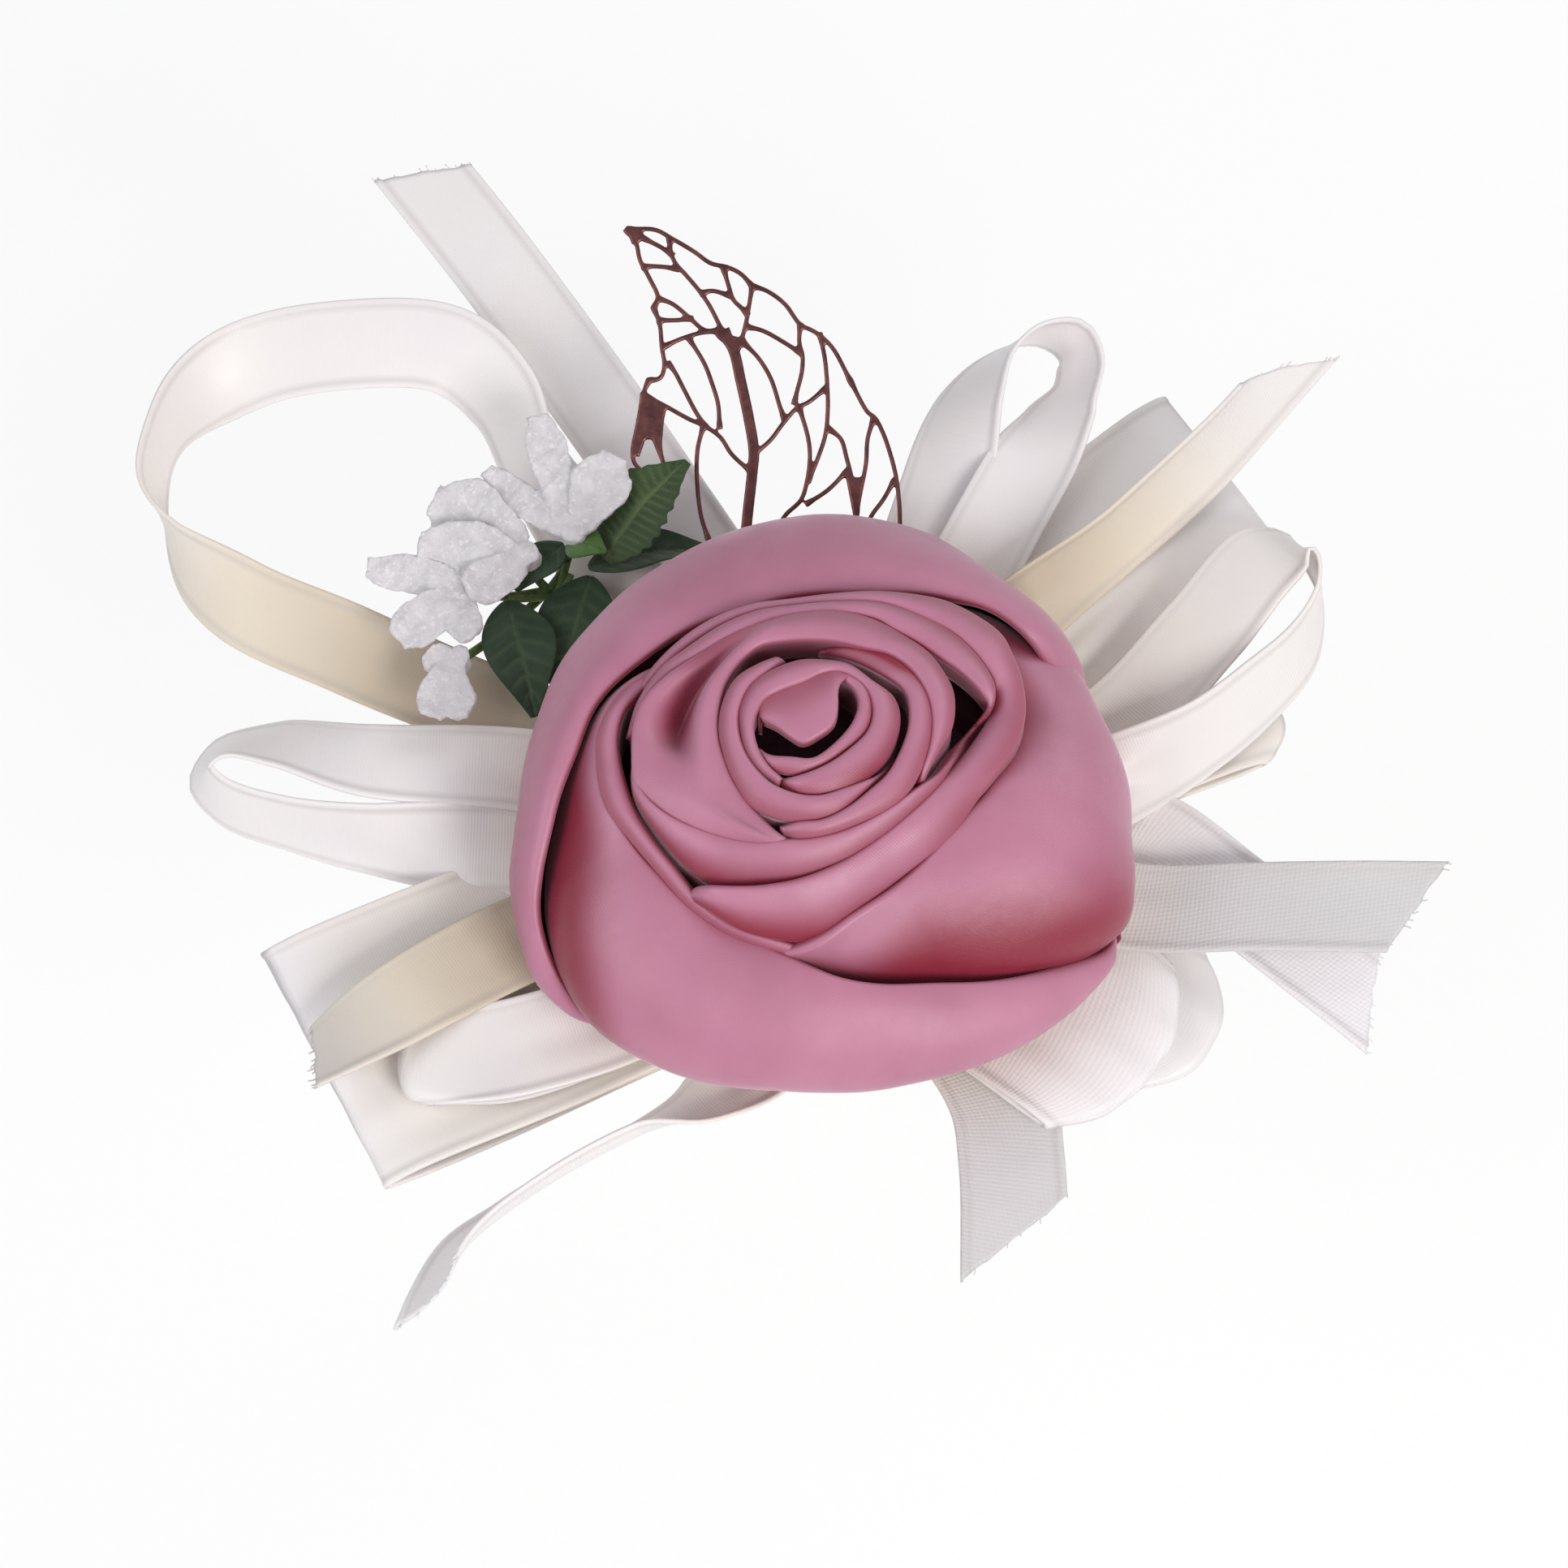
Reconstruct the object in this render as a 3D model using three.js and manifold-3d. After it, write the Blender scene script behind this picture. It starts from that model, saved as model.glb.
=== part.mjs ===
// Wrist corsage: a folded satin rose on a bow of ivory satin ribbon, with a pierced metal leaf,
// green fabric leaves and white blossoms, glued between two felt discs to an elastic wristband.
// Millimetres. The origin is the middle of the felt face that lies on the wrist.
// +Z runs out of the wrist through the rose, the wrist runs along Y, +Y is the metal leaf's side.
import * as THREE from "three";
import Module from "manifold-3d";

const wasm = await Module();
wasm.setup();
const { Manifold, Mesh } = wasm;

// Driving dimensions
const RIBBON = { width: 10, thick: 0.5, gathered: 0.4, gatherRun: 18 };
const FELT = { baseRadius: 22, coverRadius: 20, thick: 1.5, gap: 1.8 };
const BAND = { width: 14, thick: 1.2 };
const GLUE = { radius: 7, low: 5.1, high: 11.1 };
const ROSE = { footLow: 12.4, sheet: 0.6, baseRadius: 23.8, baseLow: 11.5, baseHigh: 12.1 };
const METAL = { unit: 0.089, thick: 0.5, rise: 24, at: [-7.6, 34.7, 15], vein: 0.55, overrun: 0.3 };
const BLADE = { thick: 0.35, foot: 0.12, fold: 0.9, steps: 10 };
const BLOSSOM = { thick: 0.5, eye: 1.6, cup: 0.045, spokes: 40, rows: 3 };
const WIRE = { metal: 0.45, stalk: 0.6, stem: 0.5, leaf: 0.4 };
const LEVELS = [5.45, 6.35, 7.25, 8.15, 9.05, 9.95, 10.85];

const RADIAN = Math.PI / 180;

const group = new THREE.Group();
group.name = "wrist_corsage";

// Each piece is one named body with its own finish.
function add(name, geometry, color, roughness = 0.7, metalness = 0) {
  const material = new THREE.MeshStandardMaterial({ color, roughness, metalness });
  const mesh = new THREE.Mesh(geometry, material);
  mesh.name = name;
  group.add(mesh);
}

const IVORY = 0xefe9e2;
const PINK = 0xb8708c;
const GREEN = 0x3c4a30;
const WHITE = 0xdfdbe2;
const COPPER = 0x6b4446;
const FELT_IVORY = 0xe4ddd2;
const WIRE_GREEN = 0x56683f;

// A closed body from a row of rings. A ring holds one face's points, then the other face's, back to front.
// Both faces split their quads along the same diagonal, so that a twisted sheet keeps its thickness.
function bodyFromRings(rings) {
  const size = rings[0].length;
  const half = size / 2;
  const positions = [];
  const index = [];
  rings.forEach((ring) => ring.forEach((point) => positions.push(point.x, point.y, point.z)));
  for (let i = 0; i < rings.length - 1; i += 1) {
    for (let j = 0; j < size; j += 1) {
      const a = i * size + j;
      const b = i * size + ((j + 1) % size);
      if (j < half) {
        index.push(a, b, b + size, a, b + size, a + size);
      } else {
        index.push(a, b, a + size, b, b + size, a + size);
      }
    }
  }
  const last = (rings.length - 1) * size;
  for (let j = 0; j < half - 1; j += 1) {
    const facing = size - 1 - j;
    index.push(j, facing, facing - 1, j, facing - 1, j + 1);
    index.push(last + j, last + facing - 1, last + facing, last + j, last + j + 1, last + facing - 1);
  }
  return facingOut(positions, index);
}

// Turns the faces the right way round for a closed body.
function facingOut(positions, index) {
  let volume = 0;
  const corner = (i) => new THREE.Vector3().fromArray(positions, i * 3);
  for (let i = 0; i < index.length; i += 3) {
    const a = corner(index[i]);
    volume += a.dot(corner(index[i + 1]).cross(corner(index[i + 2])));
  }
  const turned = volume > 0 ? index : index.slice().reverse();
  const geometry = new THREE.BufferGeometry();
  geometry.setAttribute("position", new THREE.Float32BufferAttribute(positions, 3));
  geometry.setIndex(turned);
  geometry.computeVertexNormals();
  return geometry;
}

const ease = (t) => {
  const c = Math.min(1, Math.max(0, t));
  return c * c * (3 - 2 * c);
};

function direction(turn, rise) {
  const flat = Math.cos(rise * RADIAN);
  return new THREE.Vector3(
    flat * Math.cos(turn * RADIAN),
    flat * Math.sin(turn * RADIAN),
    Math.sin(rise * RADIAN),
  );
}

// A ribbon runs through its stops: [x, y, z, turn, rise], where turn and rise aim its width.
// Its fixed ends are gathered under the rose; a free end is cut aslant by the length of slant.
// from and to keep only that share of its length.
function ribbon(name, stops, options = {}) {
  const { width = RIBBON.width, loop = false, slant = 0, steps = 22, from = 0, to = 1 } = options;
  const path = new THREE.CatmullRomCurve3(stops.map((s) => new THREE.Vector3(s[0], s[1], s[2])));
  path.arcLengthDivisions = 400;
  const sides = stops.map((s) => direction(s[3], s[4]));
  const long = path.getLength();
  const pinch = options.gather ?? RIBBON.gathered;
  const edge = (along, hand) => {
    const t = path.getUtoTmapping(along);
    const spot = t * (stops.length - 1);
    const before = Math.min(stops.length - 2, Math.floor(spot));
    const side = sides[before].clone().lerp(sides[before + 1], ease(spot - before));
    const forward = path.getTangent(t);
    side.addScaledVector(forward, -side.dot(forward)).normalize();
    const reach = loop ? Math.min(along, 1 - along) : along;
    const wide = width * (pinch + (1 - pinch) * ease((reach * long) / RIBBON.gatherRun));
    const up = forward.clone().cross(side).multiplyScalar(RIBBON.thick / 2);
    const place = path.getPoint(t).addScaledVector(side, (hand * wide) / 2);
    return { top: place.clone().add(up), under: place.clone().sub(up) };
  };
  const rings = [];
  for (let i = 0; i <= steps; i += 1) {
    const along = from + ((to - from) * i) / steps;
    const short = along - (Math.abs(slant) / long) * along ** 4;
    const left = edge(slant > 0 ? along : short, -1);
    const right = edge(slant > 0 ? short : along, 1);
    rings.push([left.top, right.top, right.under, left.under]);
  }
  add(name, bodyFromRings(rings), IVORY, 0.45);
}

// Pads and wristband
function disc(radius, low, high, sides = 48) {
  const geometry = new THREE.CylinderGeometry(radius, radius, high - low, sides);
  geometry.rotateX(Math.PI / 2);
  geometry.translate(0, 0, (low + high) / 2);
  return geometry;
}

const coverLow = FELT.thick + FELT.gap;
add("felt_base", disc(FELT.baseRadius, 0, FELT.thick), FELT_IVORY, 0.95);
add("felt_cover", disc(FELT.coverRadius, coverLow, coverLow + FELT.thick), FELT_IVORY, 0.95);

// The band's middle line in the plane across the wrist, from between the felts to under the wrist.
function band(name, stops, steps) {
  const path = new THREE.CatmullRomCurve3(stops.map((s) => new THREE.Vector3(s[0], 0, s[1])));
  const rings = [];
  for (let i = 0; i <= steps; i += 1) {
    const spot = path.getPointAt(i / steps);
    const forward = path.getTangentAt(i / steps);
    const out = new THREE.Vector3(forward.z, 0, -forward.x).multiplyScalar(BAND.thick / 2);
    const side = new THREE.Vector3(0, BAND.width / 2, 0);
    rings.push([
      spot.clone().add(out).sub(side),
      spot.clone().add(out).add(side),
      spot.clone().sub(out).add(side),
      spot.clone().sub(out).sub(side),
    ]);
  }
  add(name, bodyFromRings(rings), IVORY, 0.8);
}

const bandZ = FELT.thick + FELT.gap / 2;
const sideStops = [
  [8, bandZ], [16, bandZ], [22.8, bandZ], [26.3, -0.6], [28, -8], [28, -20], [24.5, -33], [15, -41.6],
];
const underStops = [[14.6, -41.9], [8, -44.9], [0, -46], [-8, -44.9], [-14.6, -41.9]];
band("band_right_span", sideStops, 22);
band("band_left_span", sideStops.map(([x, z]) => [-x, z]), 22);
band("band_underside", underStops, 12);

// Glue that holds every ribbon end, and the stiff round under the rose
const moundOutline = [
  [0, GLUE.low], [GLUE.radius, GLUE.low], [GLUE.radius, GLUE.high - 2],
  [GLUE.radius - 2, GLUE.high], [0, GLUE.high],
];
const mound = new THREE.LatheGeometry(moundOutline.map(([r, z]) => new THREE.Vector2(r, z)), 28);
mound.rotateX(Math.PI / 2);
add("glue_mound", mound, 0xd9d2c4, 0.5);
add("rose_base", disc(ROSE.baseRadius, ROSE.baseLow, ROSE.baseHigh, 40), PINK, 0.8);

// A wrap of the rose stands on the base. Its rim runs through stops: [angle, radius, height, belly, dome].
// The face falls from the rim over the belly radius to the foot: as a dome at 1, as a wall at 0.
function wrap(name, stops, { foot, steps, rows = 6, sheet = ROSE.sheet }) {
  const rim = new THREE.CatmullRomCurve3(stops.map((s) => new THREE.Vector3(s[0], s[1], s[2])));
  const shape = new THREE.CatmullRomCurve3(stops.map((s) => new THREE.Vector3(s[3], s[4] ?? 0, 0)));
  const rings = [];
  for (let i = 0; i <= steps; i += 1) {
    const at = rim.getPoint(i / steps);
    const { x: belly, y: dome } = shape.getPoint(i / steps);
    const tall = at.z - ROSE.footLow;
    const wall = 1 - dome;
    const swell = 0.22 * dome * Math.min(1, tall / 14);
    const shoulder = at.y + (0.2 + 0.6 * dome) * (belly - at.y);
    const face = new THREE.CubicBezierCurve(
      new THREE.Vector2(at.y, at.z),
      new THREE.Vector2(shoulder, at.z + 0.4 * dome - 0.3 * tall * wall),
      new THREE.Vector2(belly * (1 + swell), ROSE.footLow + 0.07 * tall + 0.25 * tall * wall),
      new THREE.Vector2(foot(at.y), ROSE.footLow),
    );
    const turn = at.x * RADIAN;
    const place = (p) => new THREE.Vector3(p.x * Math.cos(turn), p.x * Math.sin(turn), p.y);
    const outer = [];
    const inner = [];
    for (let k = 0; k < rows; k += 1) {
      const t = k / (rows - 1);
      const p = face.getPoint(t);
      const way = face.getTangent(t);
      outer.push(place(p));
      inner.push(place(new THREE.Vector2(p.x + way.y * sheet, p.y - way.x * sheet)));
    }
    rings.push([...outer, ...inner.reverse()]);
  }
  add(name, bodyFromRings(rings), PINK, 0.4);
}

// Outer petals: back and left, front, right; each tucks inside the one before it
const fixedFoot = (radius) => () => radius;
wrap("rose_petal_back", [
  [234, 35.2, 16.8, 36.4, 1], [222, 31.6, 21, 36.6, 1], [205, 27.6, 25.6, 35.4, 1],
  [182, 25.9, 28.1, 33.4, 1], [150, 22.4, 30, 33, 1], [120, 19.8, 30.6, 32.4, 1], [90, 18.9, 30.6, 32, 1],
  [62, 21.6, 30, 31.6, 1], [42, 25.4, 28.8, 31.6, 1], [26, 28.8, 25.6, 32.4, 1], [14, 31.4, 20.6, 33, 1],
], { foot: fixedFoot(23.4), steps: 32 });
wrap("rose_petal_front", [
  [146, 20.2, 29.8, 30, 0], [165, 21.8, 29.2, 30, 0], [185, 23.1, 28.6, 31, 0], [205, 24, 28, 33, 0.1],
  [222, 24.4, 27.2, 33.8, 0.2], [241, 24.5, 26.8, 35, 0.8], [270, 24.6, 26, 33.2, 1],
  [292, 26.2, 24.4, 33.8, 1], [316, 29.8, 22.2, 35.2, 1], [331, 33, 18.8, 36, 1], [338, 34.8, 16.8, 35.8, 1],
], { foot: fixedFoot(21), steps: 32 });
wrap("rose_petal_right", [
  [78, 16.8, 30.6, 28.6, 0], [52, 19.6, 30.4, 28.6, 0], [30, 22.2, 29.6, 29.4, 0.1], [4, 22.6, 28.6, 32.6, 1],
  [-22, 21.8, 28, 33.4, 0.6], [-44, 21.4, 27.6, 32, 0.2], [-62, 21.6, 27, 30.6, 0], [-80, 22, 26.4, 29.6, 0],
  [-98, 22.4, 25.6, 29, 0],
], { foot: fixedFoot(18.4), steps: 30 });

// Tucked petal and the spiral wraps inside it
const inward = (share) => (radius) => radius * share;
wrap("rose_petal_tucked", [
  [140, 18.9, 30.8, 20.6], [180, 21.6, 30.4, 22.8], [212, 22.2, 29.6, 23.4], [240, 21.6, 28.6, 23],
  [262, 20.4, 28, 21.8],
], { foot: inward(0.78), steps: 18, rows: 5 });
wrap("rose_wrap_middle", [
  [-62, 17.4, 32.2, 18.6], [-28, 17.8, 33, 19.2], [0, 19.4, 33.6, 20.6], [45, 18, 33.6, 19],
  [90, 15.6, 33.6, 16.6], [135, 17.4, 33.6, 18.4], [180, 20.2, 33.1, 21.2], [225, 20.2, 32.6, 21.4],
  [270, 17.3, 32.1, 18.6], [296, 15.4, 31.6, 16.8],
], { foot: inward(0.74), steps: 40, rows: 5 });
wrap("rose_wrap_inner", [
  [-46, 14.8, 34.6, 16], [-20, 15.2, 35, 16.4], [20, 15.8, 35.6, 17], [60, 14.8, 35.6, 16],
  [90, 13.4, 35.4, 14.4], [135, 15, 35, 16], [180, 18.6, 34.6, 19.4], [225, 17.2, 34.4, 18.4],
  [270, 13.3, 34.2, 14.8], [304, 12.6, 34, 13.6],
], { foot: inward(0.68), steps: 40, rows: 5 });
wrap("rose_bud", [
  [-560, 1.2, 35.2, 1.6], [-470, 2.6, 36.4, 3.2], [-380, 4.2, 37.6, 5], [-290, 4.9, 37.8, 5.8],
  [-180, 5.6, 38, 6.6], [-90, 6, 37.8, 7], [0, 7.6, 38, 8.6], [90, 7.4, 37.6, 8.4], [180, 8, 37.4, 9],
  [270, 9, 37, 10.4], [360, 12.2, 37, 13], [450, 10.7, 36.6, 11.6], [540, 10.4, 36.2, 11.8],
  [610, 10.6, 35.6, 11.6],
], { foot: inward(0.6), steps: 100, rows: 4 });

// Pierced metal leaf: veins drawn in a plane that rises to the back, in drawing units from its foot
const veins = [
  // outline, left from the tip down
  { line: [[-153, 356], [-141, 340], [-136, 319], [-124, 296], [-114, 273], [-119, 260]] },
  { line: [[-119, 260], [-112, 241], [-109, 211], [-106, 189], [-111, 174], [-125, 171]] },
  { line: [[-125, 171], [-131, 157], [-139, 116], [-142, 88], [-139, 71], [-123, 52], [-110, 36]] },
  // outline, right from the tip down
  { line: [[-150, 357], [-117, 356], [-96, 345], [-69, 329], [-49, 315], [-28, 310], [-12, 302], [2, 287]] },
  { line: [[2, 287], [20, 281], [42, 265], [61, 240], [80, 230], [100, 212], [123, 170]] },
  { line: [[123, 170], [144, 132], [153, 125], [163, 106], [172, 80], [179, 52], [183, 17], [184, -20]] },
  // midrib
  { line: [[-8, -60], [-5, -9], [2, 57], [4, 83], [-2, 123], [-12, 170], [-21, 208], [-34, 230]], wide: 1.7 },
  { line: [[-34, 230], [-50, 262], [-63, 281], [-79, 300], [-93, 316], [-98, 329], [-100, 345]] },
  // between midrib and left outline
  { line: [[-132, 346], [-109, 334], [-96, 325]] },
  { line: [[-133, 311], [-90, 308]] },
  { line: [[-114, 272], [-96, 265], [-76, 249], [-57, 233], [-39, 232]] },
  { line: [[-114, 245], [-92, 245], [-72, 247]] },
  { line: [[-105, 213], [-88, 221], [-63, 229], [-39, 232]] },
  { line: [[-76, 223], [-57, 192], [-47, 166], [-40, 142], [-38, 113]] },
  { line: [[-101, 192], [-93, 181], [-82, 160], [-66, 130], [-54, 113]] },
  { line: [[-127, 151], [-104, 139], [-75, 123], [-59, 116], [-38, 102], [-23, 80], [0, 59]] },
  { line: [[-58, 115], [-65, 87], [-66, 52], [-61, 5], [-52, -24]] },
  { line: [[-108, 135], [-111, 87], [-106, 64], [-102, 40]] },
  // between midrib and right outline
  { line: [[-61, 278], [-47, 281], [-25, 275]] },
  { line: [[-33, 308], [-26, 284], [-21, 270], [-10, 259], [-4, 252]] },
  { line: [[2, 287], [-2, 262], [-6, 240], [-12, 221], [-22, 212]] },
  { line: [[-5, 237], [15, 232], [39, 219], [61, 205]] },
  { line: [[61, 240], [60, 217], [64, 201], [63, 181], [57, 157], [54, 143]] },
  { line: [[-8, 217], [10, 198], [25, 173], [36, 139], [41, 125]] },
  { line: [[4, 80], [24, 97], [40, 118], [57, 137], [71, 144], [92, 161]] },
  { line: [[85, 228], [91, 200], [94, 170], [95, 135], [92, 104], [83, 76], [71, 47]] },
  { line: [[60, 138], [71, 99], [73, 76], [69, 45], [62, 24], [42, 4], [30, -20]] },
  { line: [[97, 111], [111, 99], [118, 76], [125, 47], [129, 8], [130, -20]] },
  { line: [[118, 59], [95, 36], [69, 19]] },
  { line: [[151, 123], [144, 99], [142, 69], [135, 33], [130, 6]] },
  { line: [[176, 47], [163, 24], [149, 5], [140, -16]] },
];
// solid webs between veins
const webs = [
  [[-154, 360], [-133, 360], [-131, 343], [-146, 338]],
  [[-128, 152], [-107, 139], [-110, 92], [-118, 112], [-124, 92], [-140, 92], [-138, 120]],
  [[-30, 228], [-5, 222], [-14, 205], [-22, 198]],
  [[117, 52], [136, 52], [132, 5], [126, 5]],
];

function flatPlate(points, thick) {
  const shape = new THREE.Shape(points.map(([u, v]) => new THREE.Vector2(u, v)));
  return new THREE.ExtrudeGeometry(shape, { depth: thick, bevelEnabled: false });
}

// The outline of a vein: its line offset to both sides.
function veinOutline(line, wide) {
  const left = [];
  const right = [];
  line.forEach((point, i) => {
    const before = line[Math.max(0, i - 1)];
    const after = line[Math.min(line.length - 1, i + 1)];
    const way = new THREE.Vector2(after[0] - before[0], after[1] - before[1]).normalize();
    const last = i === line.length - 1 ? METAL.overrun : 0;
    const stretch = i === 0 ? -METAL.overrun : last;
    const u = point[0] * METAL.unit + way.x * stretch;
    const v = point[1] * METAL.unit + way.y * stretch;
    left.push([u - (way.y * wide) / 2, v + (way.x * wide) / 2]);
    right.unshift([u + (way.y * wide) / 2, v - (way.x * wide) / 2]);
  });
  return [...right, ...left];
}

function toManifold(geometry) {
  const position = geometry.getAttribute("position");
  const flat = geometry.index ? geometry.toNonIndexed().getAttribute("position") : position;
  const mesh = new Mesh({
    numProp: 3,
    vertProperties: new Float32Array(flat.array),
    triVerts: new Uint32Array([...Array(flat.count).keys()]),
  });
  mesh.merge();
  return new Manifold(mesh);
}

function fromManifold(solid) {
  const mesh = solid.getMesh();
  const geometry = new THREE.BufferGeometry();
  geometry.setAttribute("position", new THREE.Float32BufferAttribute(mesh.vertProperties, 3));
  geometry.setIndex([...mesh.triVerts]);
  geometry.computeVertexNormals();
  return geometry;
}

function join(geometries) {
  return fromManifold(geometries.map(toManifold).reduce((whole, next) => whole.add(next)));
}

const plates = veins.map(({ line, wide = METAL.vein }) => flatPlate(veinOutline(line, wide), METAL.thick));
webs.forEach((web) => {
  plates.push(flatPlate(web.map(([u, v]) => [u * METAL.unit, v * METAL.unit]), METAL.thick));
});
const metalLeaf = join(plates);
metalLeaf.rotateX(METAL.rise * RADIAN);
metalLeaf.translate(...METAL.at);
add("filigree_leaf", metalLeaf, COPPER, 0.35, 0.9);

// Round wire along a path
function wire(stops, radius, steps, sides = 8) {
  const path = new THREE.CatmullRomCurve3(stops.map((s) => new THREE.Vector3(...s)));
  const round = new THREE.Shape();
  round.absarc(0, 0, radius, 0, 2 * Math.PI, false);
  return new THREE.ExtrudeGeometry(round, {
    steps,
    extrudePath: path,
    curveSegments: sides,
    bevelEnabled: false,
  });
}

const metalStem = [[-8.2, 28.6, 12], [-7.6, 25, 10.9], [-4, 12, 10.8], [-2.6, 8, 10.8]];
add("filigree_stem", wire(metalStem, WIRE.metal, 10), COPPER, 0.4, 0.8);

// Green leaf: a blade folded along its middle, from foot to tip, widest at the given share
function greenLeaf(name, foot, tip, { width, face = [0, 0.4, 1], curl = 1.2, teeth = 0 }) {
  const start = new THREE.Vector3(...foot);
  const end = new THREE.Vector3(...tip);
  const along = end.clone().sub(start);
  const forward = along.clone().normalize();
  const up = new THREE.Vector3(...face);
  up.addScaledVector(forward, -up.dot(forward)).normalize();
  const side = forward.clone().cross(up);
  const rings = [];
  for (let i = 0; i <= BLADE.steps; i += 1) {
    const t = i / BLADE.steps;
    const tooth = 1 + teeth * (i % 2 === 0 ? -1 : 1);
    const spread = Math.sin(Math.PI * Math.pow(t, 0.8)) * tooth;
    const half = (BLADE.foot + (1 - BLADE.foot) * spread) * (width / 2);
    const spine = start.clone().addScaledVector(along, t);
    spine.addScaledVector(up, curl * Math.sin(Math.PI * t));
    const lift = BLADE.fold * Math.sin(Math.PI * t);
    const top = [-1, 0, 1].map((hand) => spine.clone()
      .addScaledVector(side, hand * half)
      .addScaledVector(up, hand === 0 ? 0 : lift));
    const under = top.map((p) => p.clone().addScaledVector(up, -BLADE.thick)).reverse();
    rings.push([...top, ...under]);
  }
  add(name, bodyFromRings(rings), GREEN, 0.8);
}

greenLeaf("green_leaf_top", [-27.4, 31.4, 12.8], [-14.8, 39.8, 20], { width: 7.2, teeth: 0.08 });
greenLeaf("green_leaf_right", [-27, 30, 12.6], [-12, 32.8, 12], { width: 6, curl: 0.8 });
greenLeaf("green_leaf_left", [-33.6, 28.6, 12.6], [-31.8, 12.9, 10.6], { width: 7, curl: 0.8 });
greenLeaf("green_leaf_low", [-28.2, 26.3, 11.3], [-27.7, 16.4, 10.2], { width: 5.8, curl: 0.6 });

// Blossom: a shallow cup with lobed rim, its petals' length by angle about the facing direction
function blossom(name, centre, face, petals) {
  const up = new THREE.Vector3(...face).normalize();
  const across = new THREE.Vector3(1, 0, 0).addScaledVector(up, -up.x).normalize();
  const side = up.clone().cross(across);
  const reach = (angle) => petals.reduce((most, [turn, long, wide]) => {
    const off = ((angle - turn + 540) % 360) - 180;
    const share = Math.max(0, 1 - Math.pow(off / wide, 2));
    return Math.max(most, long * Math.sqrt(share));
  }, BLOSSOM.eye);
  const { spokes, rows } = BLOSSOM;
  const positions = [];
  const index = [];
  const put = (p) => positions.push(p.x, p.y, p.z);
  const at = (angle, far, lift) => new THREE.Vector3(...centre)
    .addScaledVector(across, far * Math.cos(angle * RADIAN))
    .addScaledVector(side, far * Math.sin(angle * RADIAN))
    .addScaledVector(up, lift);
  for (const depth of [0, -BLOSSOM.thick]) {
    put(at(0, 0, depth));
    for (let k = 1; k <= rows; k += 1) {
      for (let i = 0; i < spokes; i += 1) {
        const angle = (i * 360) / spokes;
        const far = (reach(angle) * k) / rows;
        put(at(angle, far, depth + BLOSSOM.cup * far * far));
      }
    }
  }
  const sheet = 1 + rows * spokes;
  const spot = (layer, k, i) => layer * sheet + (k === 0 ? 0 : 1 + (k - 1) * spokes + (i % spokes));
  for (let i = 0; i < spokes; i += 1) {
    for (let k = 0; k < rows; k += 1) {
      for (const layer of [0, 1]) {
        const near = [spot(layer, k, i), spot(layer, k, i + 1)];
        const far = [spot(layer, k + 1, i), spot(layer, k + 1, i + 1)];
        const corners = [near[0], far[0], far[1], near[1]];
        const turned = layer === 0 ? corners : [...corners].reverse();
        if (k > 0) {
          index.push(turned[0], turned[1], turned[2], turned[0], turned[2], turned[3]);
        } else if (layer === 0) {
          index.push(corners[0], corners[1], corners[2]);
        } else {
          index.push(corners[0], corners[2], corners[1]);
        }
      }
    }
    index.push(spot(0, rows, i), spot(1, rows, i), spot(1, rows, i + 1));
    index.push(spot(0, rows, i), spot(1, rows, i + 1), spot(0, rows, i + 1));
  }
  add(name, facingOut(positions, index), WHITE, 0.9);
}

blossom("blossom_upper", [-28, 34.4, 18.2], [0.2, 0, 1], [
  [107, 14, 24], [66, 9, 26], [150, 8, 24], [20, 5, 26], [240, 4, 30],
]);
blossom("blossom_middle", [-36.6, 33.4, 15.6], [-0.2, -0.2, 1], [
  [95, 7, 32], [150, 8, 34], [205, 7, 32], [268, 6.5, 34], [20, 6, 34],
]);
blossom("blossom_left", [-44.4, 24, 15], [-0.3, -0.2, 1], [
  [80, 6, 32], [140, 7, 32], [200, 6, 34], [265, 6.4, 34], [15, 6, 36],
]);
blossom("blossom_lower", [-40.8, 14.4, 14.6], [-0.1, -0.3, 1], [
  [60, 4.6, 30], [130, 5, 30], [200, 4.4, 32], [275, 5, 36], [345, 4.4, 34],
]);

// The taped stalk comes out from under the rose, carries the leaves and ends at the blossoms' bundle.
const stalkEnd = [-29, 27.8, 9.9];
const stalk = [
  wire([[-6.6, 5.6, LEVELS[5]], [-18, 16.4, LEVELS[5]], stalkEnd], WIRE.stalk, 8),
  wire([stalkEnd, [-28.2, 29.6, 11.2], [-27.7, 31, 12.2]], WIRE.leaf, 4),
  wire([stalkEnd, [-27.8, 28.8, 11.2], [-27.3, 29.6, 11.8]], WIRE.leaf, 4),
  wire([stalkEnd, [-29.9, 27.5, 11.3], [-33.1, 28.1, 11.8]], WIRE.leaf, 5),
];
add("sprig_stalk", join(stalk), WIRE_GREEN, 0.7);

const bundle = [-29.8, 28.6, 9.9];
const stemOf = (end) => {
  const middle = [(end[0] + bundle[0]) / 2, (end[1] + bundle[1]) / 2, bundle[2] + 0.6];
  return wire([bundle, middle, end], WIRE.stem, 6);
};
const sprig = [
  stemOf([-28, 34.4, 17.2]),
  stemOf([-36.6, 33.4, 14.6]),
  stemOf([-44.4, 24, 14]),
  stemOf([-40.8, 14.4, 13.6]),
];
add("blossom_stems", join(sprig), WIRE_GREEN, 0.7);

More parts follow.
